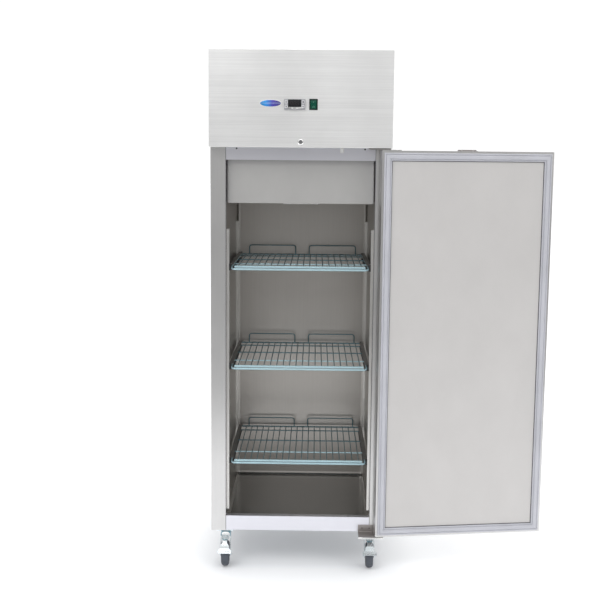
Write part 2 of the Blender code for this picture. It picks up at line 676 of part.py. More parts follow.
def door(root):
    hinge = (HINGE_X, HINGE_Y, 0.0)
    swing = empty("door_axis", hinge, root, (0.0, 0.0, DOOR_OPEN))
    low = Vector((-DOOR_HALF, DOOR_FRONT, DOOR_BOTTOM))
    high = Vector((DOOR_HALF, DOOR_BACK, DOOR_TOP))

    def front_or_corner(one, two):
        return one.y < DOOR_FRONT + 1e-4 and two.y < DOOR_FRONT + 1e-4

    def inset(d, front, back):
        return box((low.x + d, front, low.z + d), (high.x - d, back, high.z - d))

    def pin_hole(radius, z, length):
        return rod("Z", (HINGE_X, HINGE_Y, z), radius, length, 20)

    skin = box(low, high, 0.0015, front_or_corner)
    solid("door_skin", "stainless", swing, [skin], [
        inset(SHEET, DOOR_FRONT + SHEET, DOOR_BACK - SHEET),
        inset(DOOR_LIP, DOOR_BACK - 0.005, DOOR_BACK + 0.01),
        pin_hole(0.0056, 0.140, 0.020),
        pin_hole(0.0056, 1.630, 0.020),
        handle_block(GAP, -0.01, 0.010),
    ])
    margin = SHEET + GAP
    foam = inset(margin, DOOR_FRONT + margin, DOOR_BACK - margin)
    solid("door_insulation", "foam", swing, [foam], [
        pin_hole(0.0075, 0.140, 0.036), pin_hole(0.0075, 1.617, 0.030), handle_block(GAP, -0.01, 0.0303),
    ])
    panel = inset(DOOR_LIP + 0.0006, DOOR_BACK - SHEET, DOOR_BACK)
    solid("door_inner_panel", "panel_grey", swing, [panel])
    top = FACE_Y - GAP
    profile = [
        (0.008, DOOR_BACK + GAP), (0.008, top - 0.0035), (0.0105, top), (0.0335, top),
        (0.037, top - 0.0035), (0.037, DOOR_BACK + GAP),
    ]
    gasket = frame_loop(profile, DOOR_HALF, DOOR_BOTTOM, DOOR_TOP)
    solid("door_gasket", "gasket_grey", swing, [gasket])

    x, z = HANDLE_HALF
    flange = box(
        (HANDLE_X - x, -0.0012, HANDLE_Z - z), (HANDLE_X + x, DOOR_FRONT - GAP, HANDLE_Z + z),
        0.001, lambda one, two: one.y < -0.001 and two.y < -0.001,
    )
    cup = handle_block(0.0, 0.0, 0.030)
    recess = handle_block(-0.002, DOOR_FRONT + 0.0010, 0.028)
    mouth = box((HANDLE_X - 0.016, -0.01, HANDLE_Z - z + 0.009), (HANDLE_X + x - 0.009, 0.005, HANDLE_Z + z - 0.009))
    solid("door_handle", "black_plastic", swing, [flange, cup], [recess, mouth])

    strike = [(0.0200, 1.6373), (0.0400, 1.6373), (0.0400, 1.6388), (0.0215, 1.6388), (0.0215, 1.6425), (0.0200, 1.6425)]
    solid("lock_strike", "bracket", swing, [prism(strike, "X", -0.036, 0.036)])
    plate = box((0.2555, 0.0080, 1.6373), (0.3275, 0.0440, 1.6400))
    solid("door_hinge_plate", "zinc", swing, [plate], [pin_hole(0.0056, 1.630, 0.020)])


def hinge_brackets(root):
    """Two angle brackets on the cabinet's face, each with the pin that the door turns on."""
    face = FACE_Y + 0.0001
    lower = folded_sheet([(face, 0.1790), (face, 0.1505), (-0.0050, 0.1505)], 0.0025, 0.0001)
    lower_pin = rod("Z", (HINGE_X, HINGE_Y, 0.1490), HINGE_PIN, 0.0210)
    solid("hinge_bottom_bracket", "bracket", root, [prism(lower, "X", 0.2380, 0.3340), lower_pin])
    upper = [
        (0.0080, 1.6405), (0.0617, 1.6405), (0.0617, 1.6900), (0.0590, 1.6900), (0.0590, 1.6432), (0.0080, 1.6432),
    ]
    upper_pin = rod("Z", (HINGE_X, HINGE_Y, 1.6200), HINGE_PIN, 0.0220)
    solid("hinge_top_bracket", "bracket", root, [prism(upper, "X", 0.2545, 0.3340), upper_pin])


# ---------------------------------------------------------------- casters


def caster_wheel(name, frame):
    """The tyre's flats touch the floor, so the wheel's flats, not its corners, set its radius."""
    reach = 1 / math.cos(math.pi / WHEEL_SEGMENTS)
    profile = [
        (0.0046, -0.0165), (0.020, -0.0165), (0.0205, -0.0150), (0.0465, -0.0155), (WHEEL_RADIUS * reach, -0.0105),
        (WHEEL_RADIUS * reach, 0.0105), (0.0465, 0.0155), (0.0205, 0.0150), (0.020, 0.0165), (0.0046, 0.0165),
    ]
    half_step = math.pi / WHEEL_SEGMENTS
    wheel = turned(profile, "X", frame["at"], WHEEL_SEGMENTS, hollow=True, phase=half_step)
    solid(name, "tyre", frame, [wheel], smooth=True)


def leg_outline(y, z_top, axle_y, half_top):
    """A fork leg: wide at its head and round about the axle."""
    outline = [(y + half_top, z_top), (y - half_top, z_top)]
    for step in range(9):
        angle = math.radians(190 + 160 * step / 8)
        outline.append((axle_y + 0.013 * math.cos(angle), WHEEL_RADIUS + 0.013 * math.sin(angle)))
    return outline


def front_casters(root):
    """Swivelling casters: a fixed plate, a fork that turns under it, a wheel and a brake pedal."""
    for side, sign in (("left", -1), ("right", 1)):
        x, y = sign * CASTER_X, STEM_FRONT_Y
        plate = box((x - 0.035, y - 0.0425, 0.1467), (x + 0.035, y + 0.0425, CASTER_HEIGHT - GAP))
        raceway = turned([(0.026, 0.1375), (0.028, 0.1400), (0.028, 0.1475)], "Z", (x, y, 0.0), 24)
        solid(f"caster_plate_front_{side}", "zinc", root, [plate, raceway], smooth=True)

        swivel = empty(f"swivel_axis_{side}", (x, y, 0.0), root)
        head = turned([(0.0195, 0.1255), (0.0255, 0.1290), (0.0255, 0.1372)], "Z", (x, y, 0.0), 24)
        axle_y = y - TRAIL
        shapes = [head]
        for inner, outer in ((FORK_INNER, FORK_OUTER), (-FORK_OUTER, -FORK_INNER)):
            leg = leg_outline(y, 0.1310, axle_y, 0.021)
            shapes.append(prism(leg, "X", x + inner, x + outer))
        shapes.append(rod("X", (x - FORK_OUTER + 0.0005, axle_y, WHEEL_RADIUS), AXLE_RADIUS, 2 * FORK_OUTER - 0.001, 16))
        shapes.append(box((x - FORK_OUTER, y - 0.018, 0.1265), (x + FORK_OUTER, y + 0.018, 0.1300)))
        solid(f"caster_fork_front_{side}", "zinc", swivel, shapes, smooth=True)

        roll = empty(f"wheel_axis_front_{side}", (x, axle_y, WHEEL_RADIUS), swivel)
        caster_wheel(f"caster_wheel_front_{side}", roll)

        pivot = (x, y - 0.014, 0.1130)
        pedal_axis = empty(f"pedal_axis_{side}", pivot, swivel)
        path = [(y - 0.006, 0.1150), (y - 0.058, 0.1130), (y - 0.074, 0.0980), (y - 0.080, 0.0840)]
        arm = prism(folded_sheet(path, 0.0022, 0.004), "X", x - 0.0165, x + 0.0165)
        lip_path = [(y - 0.0745, 0.0900), (y - 0.0830, 0.0800), (y - 0.0920, 0.0700)]
        lip = folded_sheet(lip_path, 0.0030, 0.002)
        solid(f"brake_pedal_{side}", "zinc", pedal_axis, [arm, prism(lip, "X", x - 0.028, x + 0.028)])


def rear_casters(root):
    """Fixed casters: the plate and the fork are one pressing."""
    for side, sign in (("left", -1), ("right", 1)):
        x, y = sign * CASTER_X, AXLE_REAR_Y
        shapes = [box((x - 0.035, y - 0.0425, 0.1467), (x + 0.035, y + 0.0425, CASTER_HEIGHT - GAP))]
        shapes.append(box((x - FORK_OUTER, y - 0.030, 0.1380), (x + FORK_OUTER, y + 0.030, 0.1475)))
        for inner, outer in ((FORK_INNER, FORK_OUTER), (-FORK_OUTER, -FORK_INNER)):
            shapes.append(prism(leg_outline(y, 0.1400, y, 0.030), "X", x + inner, x + outer))
        shapes.append(rod("X", (x - FORK_OUTER + 0.0005, y, WHEEL_RADIUS), AXLE_RADIUS, 2 * FORK_OUTER - 0.001, 16))
        solid(f"caster_bracket_rear_{side}", "zinc", root, shapes, smooth=True)
        roll = empty(f"wheel_axis_rear_{side}", (x, y, WHEEL_RADIUS), root)
        caster_wheel(f"caster_wheel_rear_{side}", roll)


# ---------------------------------------------------------------- whole


def centre_footprint(root):
    """Moves the root so that the middle of the whole footprint is over the origin."""
    bpy.context.view_layer.update()
    corners = [
        item.matrix_world @ Vector(corner)
        for item in bpy.context.scene.objects
        if item.type == "MESH" and not item.hide_render
        for corner in item.bound_box
    ]
    for axis in (0, 1):
        values = [corner[axis] for corner in corners]
        root.location[axis] = -(min(values) + max(values)) / 2
    root.location.z = -min(corner.z for corner in corners)


def main():
    clear_scene()
    root = empty("cabinet_root", (0.0, 0.0, 0.0))
    side_panels(root)
    rear_panel(root)
    floor_and_roof(root)
    insulation(root)
    liner(root)
    opening_frame(root)
    fascia(root)
    controller(root)
    power_switch(root)
    lock(root)
    door_switch(root)
    compressor(root)
    condenser(root)
    evaporator(root)
    uprights(root)
    rails(root)
    shelves(root)
    door(root)
    hinge_brackets(root)
    front_casters(root)
    rear_casters(root)
    centre_footprint(root)


main()
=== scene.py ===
"""Surfaces, fine parts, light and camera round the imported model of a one-door reach-in refrigerator.

Places are written in the cabinet's own coordinates: X from its middle, Y back from the front of the
top panel, Z up from the floor. place() moves them to the model's frame, from the model's own boxes.
"""

import math

import bmesh
import bpy
from mathutils import Matrix, Vector


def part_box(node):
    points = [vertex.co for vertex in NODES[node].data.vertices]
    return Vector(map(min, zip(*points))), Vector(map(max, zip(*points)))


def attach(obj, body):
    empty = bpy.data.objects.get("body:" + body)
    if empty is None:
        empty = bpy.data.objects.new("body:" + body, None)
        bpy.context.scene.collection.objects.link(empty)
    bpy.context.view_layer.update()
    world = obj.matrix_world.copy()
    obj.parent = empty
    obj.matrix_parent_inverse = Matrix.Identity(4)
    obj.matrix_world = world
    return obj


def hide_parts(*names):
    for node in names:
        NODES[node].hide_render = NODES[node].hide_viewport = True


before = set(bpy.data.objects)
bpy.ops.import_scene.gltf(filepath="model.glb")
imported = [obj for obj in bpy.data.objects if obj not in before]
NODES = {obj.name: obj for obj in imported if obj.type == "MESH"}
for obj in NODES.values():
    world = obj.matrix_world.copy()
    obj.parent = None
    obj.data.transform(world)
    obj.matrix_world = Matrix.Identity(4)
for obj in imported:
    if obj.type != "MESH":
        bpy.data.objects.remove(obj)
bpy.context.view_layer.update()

for spare in ("Cube", "Light", "Camera"):
    if spare in bpy.data.objects:
        bpy.data.objects.remove(bpy.data.objects[spare], do_unlink=True)

LEFT_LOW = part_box("fascia_panel")[0]
RIGHT_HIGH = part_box("fascia_panel")[1]
SHIFT = Vector(((LEFT_LOW.x + RIGHT_HIGH.x) / 2, LEFT_LOW.y, 0.0))

TINY = 1e-6
BADGE = (-0.112, 0.0, 1.805)
CONDENSER_FAN = (0.165, 0.214, 1.822)
EVAPORATOR_FAN = (0.0, 0.215, 1.45)

# Places that the CAD gives, in the cabinet's coordinates.
HINGE = (0.3141, 0.0258)
DOOR_OPEN = math.radians(188)
DOOR_HALF = 0.3295
DOOR_BOTTOM, DOOR_TOP = 0.152, 1.637
SHELF_LEVELS = {"bottom": 0.425, "middle": 0.802, "top": 1.191}
CONTROL_Z = 1.802
CONTROLLER_X = -0.023
SWITCH_X = 0.046
ROCKER_TILT = math.radians(8)
DECK_Z = 1.7015
CASTER_X = 0.285
STEM_Y = 0.11
REAR_AXLE_Y = 0.625
TRAIL = 0.03
WHEEL_R = 0.05


def place(x, y, z):
    return Vector((x, y, z)) + SHIFT


# ---------------------------------------------------------------- mesh building


def fresh():
    return bmesh.new()


def block(bm, low, high, bevel=0.0, segments=3, chosen=None):
    """A block between two corners, with the chosen edges rounded."""
    made = bmesh.ops.create_cube(bm, size=1.0)["verts"]
    for v in made:
        v.co = Vector(low[i] if v.co[i] < 0 else high[i] for i in range(3))
    if bevel:
        edges = {e for v in made for e in v.link_edges}
        edges = [e for e in edges if chosen is None or chosen(e.verts[0].co, e.verts[1].co)]
        soften(bm, edges, bevel, segments)
    return bm


def axes_of(axis):
    return {"X": (1, 2, 0), "Y": (2, 0, 1), "Z": (0, 1, 2)}[axis]


def circle(radius, count):
    """(u, v) pairs round a circle."""
    turns = [2 * math.pi * i / count for i in range(count)]
    return [(radius * math.cos(a), radius * math.sin(a)) for a in turns]


def ring_at(bm, outline, along, centre, axis):
    """New points at the (u, v) pairs of an outline, round an axis through centre."""
    u_axis, v_axis, main = axes_of(axis)
    ring = []
    for u, v in outline:
        p = Vector(centre)
        p[u_axis] += u
        p[v_axis] += v
        p[main] += along
        ring.append(bm.verts.new(p))
    return ring


def sheet(bm, one, two):
    """Faces between two closed rows of points."""
    for i in range(len(one)):
        j = (i + 1) % len(one)
        bm.faces.new((one[i], one[j], two[j], two[i]))


def capped(bm, rings):
    """A skin over rows of points, with flat ends."""
    bm.faces.new(rings[0])
    bm.faces.new(rings[-1])
    for one, two in zip(rings, rings[1:]):
        sheet(bm, one, two)
    return bm


def soften(bm, edges, offset, segments=2):
    bmesh.ops.bevel(bm, geom=edges, offset=offset, segments=segments, profile=0.5, affect="EDGES")


def flat_in_x(edge):
    return abs(edge.verts[0].co.x - edge.verts[1].co.x) < TINY


def lathe(bm, profile, centre, axis="Z", steps=40, closed=False):
    """(radius, along) points turned about an axis through centre. Radius 0 ends in a point."""
    rings = [
        ring_at(bm, circle(radius, steps) if radius > TINY else [(0.0, 0.0)], along, centre, axis)
        for radius, along in profile
    ]
    pairs = list(zip(rings, rings[1:]))
    if closed:
        pairs.append((rings[-1], rings[0]))
    else:
        for ring in (rings[0], rings[-1]):
            if len(ring) > 1:
                bm.faces.new(ring)
    for one, two in pairs:
        for i in range(steps):
            j = (i + 1) % steps
            corners = [one[i % len(one)], one[j % len(one)], two[j % len(two)], two[i % len(two)]]
            corners = list(dict.fromkeys(corners))
            if len(corners) > 2:
                bm.faces.new(corners)
    return bm


def extrude(bm, outline, axis, low, high):
    """A closed outline of (y, z), (x, z) or (x, y) pairs, extruded along X, Y or Z."""
    put = {
        "X": lambda p, a: (a, p[0], p[1]),
        "Y": lambda p, a: (p[0], a, p[1]),
        "Z": lambda p, a: (p[0], p[1], a),
    }[axis]
    return capped(bm, [[bm.verts.new(put(p, a)) for p in outline] for a in (low, high)])


def eased(path, radius, steps=5):
    """The path with its inner corners rounded."""
    points = [Vector(path[0])]
    for before, corner, after in zip(path, path[1:], path[2:]):
        before, corner, after = Vector(before), Vector(corner), Vector(after)
        reach = min(radius, (before - corner).length * 0.49, (after - corner).length * 0.49)
        start = corner + (before - corner).normalized() * reach
        end = corner + (after - corner).normalized() * reach
        for i in range(steps + 1):
            t = i / steps
            points.append((1 - t) ** 2 * start + 2 * t * (1 - t) * corner + t**2 * end)
    points.append(Vector(path[-1]))
    return points


def tube(bm, points, radius, sides=10, closed=False):
    """A round bar along a line of points."""
    points = [Vector(p) for p in points]
    count = len(points)
    rings = []
    normal = None
    for i, p in enumerate(points):
        before = points[i - 1] if (i or closed) else p
        after = points[(i + 1) % count] if (i < count - 1 or closed) else p
        along = (after - before).normalized()
        if normal is None:
            normal = along.orthogonal().normalized()
        normal = (normal - along * normal.dot(along)).normalized()
        other = along.cross(normal)
        rings.append([bm.verts.new(p + radius * (u * normal + v * other)) for u, v in circle(1.0, sides)])
    if closed:
        first = rings[0][0].co - points[0]
        twist = min(range(sides), key=lambda k: (rings[-1][k].co - points[-1] - first).length)
        for one, two in zip(rings, rings[1:] + rings[:1]):
            if two is rings[0]:
                one = one[twist:] + one[:twist]
            sheet(bm, one, two)
        return bm
    return capped(bm, rings)


def ribbon(bm, stations, thickness, middle_x):
    """A bent strip of metal: each station is (y, z, half width)."""
    rings = []
    for i, (y, z, half) in enumerate(stations):
        before = stations[max(i - 1, 0)]
        after = stations[min(i + 1, len(stations) - 1)]
        along = Vector((after[0] - before[0], after[1] - before[1])).normalized()
        up = Vector((along.y, -along.x)) * thickness / 2
        edge = min(0.0008, half / 4)
        ring = []
        for x, side in ((-half, -0.4), (-half + edge, -1), (half - edge, -1), (half, -0.4),
                        (half, 0.4), (half - edge, 1), (-half + edge, 1), (-half, 0.4)):
            ring.append(bm.verts.new((middle_x + x, y + up.x * side, z + up.y * side)))
        rings.append(ring)
    return capped(bm, rings)


def hexagon(bm, centre, axis, across, low, high):
    outline = circle(across / math.sqrt(3), 6)
    return capped(bm, [ring_at(bm, outline, along, centre, axis) for along in (low, high)])


def make(name, bm, look, body="cabinet", stands_for=(), smooth=35, turn=None):
    """The finished piece, riding on its body. look names its materials."""
    bmesh.ops.recalc_face_normals(bm, faces=bm.faces)
    if turn is not None:
        bmesh.ops.transform(bm, matrix=turn, verts=bm.verts)
    bmesh.ops.translate(bm, vec=SHIFT, verts=bm.verts)
    mesh = bpy.data.meshes.new(name)
    bm.to_mesh(mesh)
    bm.free()
    looks = look.split()
    for item in looks:
        mesh.materials.append(LOOKS[item])
    mesh.shade_smooth()
    mesh.set_sharp_from_angle(angle=math.radians(smooth))
    obj = bpy.data.objects.new(name, mesh)
    bpy.context.scene.collection.objects.link(obj)
    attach(obj, body)
    if stands_for:
        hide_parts(*stands_for)


def about(point, axis, angle):
    """A turn about a line through a point."""
    return Matrix.Translation(point) @ Matrix.Rotation(angle, 4, axis) @ Matrix.Translation(-Vector(point))


DOOR_TURN = about((HINGE[0], HINGE[1], 0.0), "Z", DOOR_OPEN)


def recoloured(bm, before, index):
    """Gives every face made since the count before a material index."""
    bm.faces.ensure_lookup_table()
    for face in bm.faces[before:]:
        face.material_index = index


# ---------------------------------------------------------------- materials


class Tree:
    """A node tree, built up step by step."""

    def __init__(self, tree):
        self.tree = tree

    def put(self, value, socket):
        """Links a socket's value, or sets a plain one."""
        if hasattr(value, "links"):
            self.tree.links.new(value, socket)
        elif socket.type == "RGBA":
            socket.default_value = (*value[:3], 1.0)
        else:
            socket.default_value = value

    def node(self, kind, inputs=None, **settings):
        made = self.tree.nodes.new(kind)
        for key, value in settings.items():
            setattr(made, key, value)
        for key, value in (inputs or {}).items():
            self.put(value, made.inputs[key])
        return made

    def split(self, vector):
        return self.node("ShaderNodeSeparateXYZ", {"Vector": vector}).outputs

    def maths(self, operation, *values, kind="ShaderNodeMath"):
        made = self.node(kind, dict(enumerate(values)), operation=operation)
        return made.outputs[0]

    def ranged(self, value, low, high, start=0.3, end=0.7):
        ends = {"From Min": start, "From Max": end, "To Min": low, "To Max": high}
        return self.node("ShaderNodeMapRange", {"Value": value, **ends}).outputs["Result"]

    def ramp(self, factor, *stops):
        """A colour ramp through (position, colour) stops, its two ends first."""
        made = self.node("ShaderNodeValToRGB", {"Fac": factor})
        elements = made.color_ramp.elements
        for i, (position, colour) in enumerate(stops):
            stop = elements[i] if i < 2 else elements.new(position)
            stop.color = (*colour, 1.0)
        return made.outputs["Color"]


class Look(Tree):
    """A material's node tree."""

    def __init__(self, name):
        self.material = bpy.data.materials.new(name)
        self.material.use_nodes = True
        super().__init__(self.material.node_tree)
        self.shader = self.tree.nodes["Principled BSDF"]
        self.coords = self.node("ShaderNodeTexCoord").outputs["Object"]

    def stretched(self, stretch):
        return self.node("ShaderNodeMapping", {"Vector": self.coords, "Scale": stretch}).outputs["Vector"]

    def noise(self, stretch, detail=3.0, rough=0.55):
        values = {"Vector": self.stretched(stretch), "Scale": 1.0, "Detail": detail, "Roughness": rough}
        return self.node("ShaderNodeTexNoise", values).outputs["Fac"]

    def mixed(self, factor, one, two, blend="MIX"):
        inputs = {0: factor, 6: one, 7: two}
        return self.node("ShaderNodeMix", inputs, data_type="RGBA", blend_type=blend).outputs[2]

    def summed(self, *weighted):
        total = None
        for value, weight in weighted:
            scaled = self.maths("MULTIPLY", value, weight)
            total = scaled if total is None else self.maths("ADD", total, scaled)
        return total

    def bump(self, height, strength, distance):
        values = {"Height": height, "Strength": strength, "Distance": distance}
        self.shade(Normal=self.node("ShaderNodeBump", values).outputs["Normal"])

    def shade(self, **values):
        """Sets or links the shader's own sockets."""
        for key, value in values.items():
            self.put(value, self.shader.inputs[key.replace("_", " ")])
        return self.material


def scaled(colour, factor):
    return tuple(min(1.0, c * factor) for c in colour)


def brushed(
    name, colour, grain, rough=0.3, depth=0.1, contrast=0.1, metallic=1.0, blotch=0.05, along=1.2,
    coarse=0.55, vary=0.065,
):
    """Sheet metal with a brushed grain along X, Y or Z, soft smudges and fine scratches."""
    look = Look(name)

    def stretch(long, short):
        return tuple(long if axis == grain else short for axis in "XYZ")

    fine = look.noise(stretch(along * 6, 2600.0), 2.0)
    streaks = look.noise(stretch(along, 330.0), 4.0, 0.7)
    smudge = look.noise((3.1, 2.3, 2.7), 4.0)
    grainy = look.summed((fine, 1.0 - coarse), (streaks, coarse))
    tint = look.ranged(grainy, 1.0 - contrast, 1.0 + contrast * 0.45, 0.36, 0.64)
    base = look.mixed(
        look.ranged(smudge, 0.0, 1.0), scaled(colour, 1.0 - blotch), scaled(colour, 1.0 + blotch),
    )
    scale = look.node("ShaderNodeCombineColor", {"Red": tint, "Green": tint, "Blue": tint}).outputs["Color"]
    look.bump(grainy, depth, 0.0004)
    return look.shade(
        Base_Color=look.mixed(1.0, base, scale, "MULTIPLY"), Metallic=metallic,
        Roughness=look.ranged(look.summed((grainy, 0.6), (smudge, 0.4)), rough - vary, rough + vary),
    )


def grained(
    name, colour, rough, size=420.0, depth=0.12, contrast=0.07, metallic=0.0, second=None, spread=0.06, **more
):
    """Moulded or painted surface: fine orange peel, soft colour drift and a scatter of dust and rubs."""
    look = Look(name)
    peel = look.noise((size, size, size), 3.0)
    drift = look.noise((7.0, 6.0, 5.0), 4.0)
    rub = look.noise((61.0, 43.0, 52.0), 6.0, 0.7)
    other = second or scaled(colour, 1.0 - contrast * 2)
    base = look.mixed(look.ranged(drift, 0.0, 1.0), other, scaled(colour, 1.0 + contrast * 0.6))
    look.bump(peel, depth, 0.0003)
    return look.shade(
        Base_Color=look.mixed(
            look.ranged(rub, 0.0, 0.5, 0.56, 0.8), base, scaled(colour, 1.0 + contrast * 2.2),
        ),
        Roughness=look.ranged(look.summed((peel, 0.4), (rub, 0.6)), rough - spread, rough + spread),
        Metallic=metallic, **more,
    )


def badge_look():
    """Enamel that runs from light blue to violet, with a pale band across its middle."""
    look = Look("badge_enamel")
    middle = place(*BADGE)
    x, _, z = look.split(look.coords)
    run = look.ranged(x, 0.0, 1.0, middle.x - 0.036, middle.x + 0.036)
    enamel = look.ramp(
        run, (0.0, (0.0, 0.2, 0.48)), (1.0, (0.035, 0.018, 0.16)), (0.25, (0.015, 0.28, 0.72)),
        (0.6, (0.07, 0.06, 0.4)),
    )
    height = look.maths("ABSOLUTE", look.maths("SUBTRACT", z, middle.z))
    band = look.ranged(height, 0.34, 0.0, 0.0, 0.0048)
    pale = look.maths("MULTIPLY", band, look.ranged(look.noise((60.0, 1.0, 160.0), 2.0), 0.2, 1.2))
    return look.shade(
        Base_Color=look.mixed(pale, enamel, (0.55, 0.66, 0.95)), Coat_Weight=0.6,
        Roughness=look.ranged(look.noise((300.0, 300.0, 300.0)), 0.14, 0.22),
    )


def liner_sheet_painted_floor_shade():
    """The cabinet's lining: brushed walls, and a smoother floor pan whose colour is painted darker, as
    painted shade on the cabinet's floor.
    """
    look = Look("liner_sheet_painted_floor_shade")
    fine = look.noise((1500.0, 1500.0, 14.0), 2.0)
    streaks = look.noise((240.0, 240.0, 2.5), 4.0, 0.7)
    smudge = look.noise((4.1, 3.3, 3.7), 4.0)
    grain = look.summed((fine, 0.35), (streaks, 0.35), (smudge, 0.3))
    wall = look.ranged(look.split(look.coords)["Z"], 0.0, 1.0, 0.203, 0.213)
    tone = look.ranged(grain, 0.0, 1.0)
    walls = look.mixed(tone, (0.45, 0.428, 0.4), (0.52, 0.497, 0.47))
    # Painted shade: the floor pan's colours are darker than the walls' to stand for the shade on the
    # cabinet's floor.
    pan = look.mixed(tone, (0.28, 0.276, 0.268), (0.328, 0.324, 0.315))
    look.bump(grain, 0.06, 0.0004)
    rough = look.maths("MULTIPLY", look.ranged(grain, 0.31, 0.39), look.ranged(wall, 0.6, 1.0, 0.0, 1.0))
    return look.shade(Base_Color=look.mixed(wall, pan, walls), Roughness=rough, Metallic=0.96)


def spangled():
    """Galvanised sheet: faint zinc crystals of about a centimetre, each a little lighter or darker."""
    look = Look("galvanised_sheet")
    values = {"Vector": look.stretched((105.0, 105.0, 80.0)), "Scale": 1.0, "Randomness": 1.0}
    cells = look.node("ShaderNodeTexVoronoi", values, feature="F1").outputs["Color"]
    shares = look.node("ShaderNodeSeparateColor", {"Color": cells}).outputs["Red"]
    fine = look.noise((210.0, 190.0, 230.0), 4.0)
    drift = look.noise((2.1, 1.7, 1.3), 2.0)
    tone = look.summed((shares, 0.34), (fine, 0.38), (drift, 0.28))
    look.bump(fine, 0.04, 0.0003)
    return look.shade(
        Base_Color=look.mixed(
            look.ranged(tone, 0.0, 1.0, 0.25, 0.75), (0.55, 0.57, 0.585), (0.69, 0.7, 0.715),
        ),
        Roughness=look.ranged(tone, 0.36, 0.47, 0.25, 0.75), Metallic=0.9,
    )


LOOKS = {
    "fascia": brushed("steel_front_panel", (0.86, 0.86, 0.855), "X", 0.5, 0.1, 0.09),
    "side": brushed(
        "steel_side_panel", (0.655, 0.65, 0.645), "Z", 0.33, 0.02, 0.05, coarse=0.18, vary=0.03,
    ),
    "door_skin": brushed("steel_door_skin", (0.63, 0.625, 0.62), "Z", 0.34, 0.08, 0.07),
    "upright": brushed("steel_upright", (0.74, 0.73, 0.7), "Z", 0.33, 0.08, 0.08),
    "frame": brushed(
        "frame_surround", (0.735, 0.735, 0.785), "X", 0.33, 0.004, 0.02, 0.95, 0.02, coarse=0.15, vary=0.02,
    ),
    "cover": grained("evaporator_cover_sheet", (0.455, 0.45, 0.44), 0.48, 620.0, 0.1, 0.03, 0.4),
    "door_panel": grained("door_inner_sheet", (0.585, 0.57, 0.56), 0.5, 620.0, 0.1, 0.02, 0.15),
    "gasket": grained("gasket_vinyl", (0.52, 0.525, 0.57), 0.5, 700.0, 0.12, 0.05),
    "zinc": grained("zinc_plate", (0.88, 0.91, 0.92), 0.26, 240.0, 0.06, 0.08, 0.95, (0.68, 0.77, 0.81)),
    # Painted shade and reflection: a dark blue copy of the zinc plate, put on the shaded faces of the caster
    # heads.
    "zinc_shade": grained(
        "zinc_plate_painted_shade", (0.13, 0.27, 0.34), 0.3, 240.0, 0.05, 0.1, 0.85, (0.2, 0.38, 0.45), 0.03,
    ),
    "bright": brushed("bright_fittings", (0.86, 0.86, 0.85), "Z", 0.18, 0.05, 0.05),
    "lock_face": brushed("lock_face", (0.34, 0.34, 0.35), "X", 0.3, 0.08, 0.1),
    "bracket": brushed("hinge_bracket", (0.38, 0.355, 0.345), "X", 0.36, 0.1, 0.12, 0.9),
    # Painted shade: the rails are coloured near-black for the shadow that lies along them.
    "rail": grained("rail_painted_shade", (0.125, 0.122, 0.118), 0.42, 420.0, 0.12, 0.12, 0.4),
    "wire": grained(
        "wire_coat", (0.41, 0.575, 0.625), 0.34, 520.0, 0.03, 0.03, 0.35, spread=0.02, Coat_Weight=0.3,
        Coat_Roughness=0.2,
    ),
    # Painted shade: a darker copy of the wire coat, for the wires deeper in the cabinet.
    "wire_inner": grained(
        "wire_coat_painted_shade", (0.15, 0.235, 0.26), 0.38, 520.0, 0.03, 0.05, 0.45, spread=0.02,
    ),
    "control": grained("control_bezel", (0.38, 0.39, 0.41), 0.4, 620.0, 0.08, 0.06, 0.3),
    "key": grained("key_cap", (0.62, 0.62, 0.64), 0.38, 620.0, 0.1, 0.05),
    "black": grained("black_plastic", (0.02, 0.021, 0.023), 0.42, 520.0, 0.16, 0.25),
    "black_paint": grained(
        "black_enamel", (0.016, 0.016, 0.018), 0.3, 300.0, 0.1, 0.3, 0.1, Coat_Weight=0.3,
    ),
    "green_dark": grained(
        "switch_green_dark", (0.001, 0.02, 0.013), 0.3, 500.0, 0.05, 0.12, Coat_Weight=0.1,
        Specular_IOR_Level=0.25,
    ),
    "green": grained(
        "switch_green", (0.001, 0.082, 0.049), 0.3, 500.0, 0.04, 0.12, Coat_Weight=0.1,
        Specular_IOR_Level=0.25,
    ),
    "mark": grained("pale_mark", (0.12, 0.36, 0.26), 0.4, 500.0, 0.02, 0.05),
    "white": grained("white_plastic", (0.86, 0.86, 0.85), 0.36, 520.0, 0.06, 0.03),
    "tyre": grained(
        "tyre_rubber", (0.085, 0.095, 0.115), 0.58, 330.0, 0.3, 0.2, 0.0, (0.055, 0.062, 0.075),
    ),
    "core": grained("wheel_core", (0.15, 0.16, 0.18), 0.46, 420.0, 0.12, 0.1),
    "copper": brushed("copper_tube", (0.83, 0.42, 0.26), "Z", 0.26, 0.04, 0.1, 1.0, 0.12, 20.0),
    "fins": brushed("fin_stock", (0.78, 0.79, 0.8), "Z", 0.32, 0.05, 0.1),
    "foam": grained("foam", (0.78, 0.68, 0.42), 0.92, 900.0, 0.5, 0.1),
    "sleeve": grained("foam_sleeve", (0.028, 0.028, 0.03), 0.8, 900.0, 0.5, 0.2),
    "shade_strip": grained("joint_shadow", (0.1, 0.1, 0.11), 0.62, 500.0, 0.05, 0.1),
    "dark": grained("recess_dark", (0.01, 0.01, 0.011), 0.6, 500.0, 0.05, 0.1),
    "glass": grained("display_glass", (0.01, 0.011, 0.013), 0.12, 900.0, 0.01, 0.1, spread=0.02),
    "segment": grained("display_segment", (0.022, 0.016, 0.016), 0.35, 900.0, 0.01, 0.1),
    "badge": badge_look(),
    "galvanised": spangled(),
    "liner": liner_sheet_painted_floor_shade(),
}


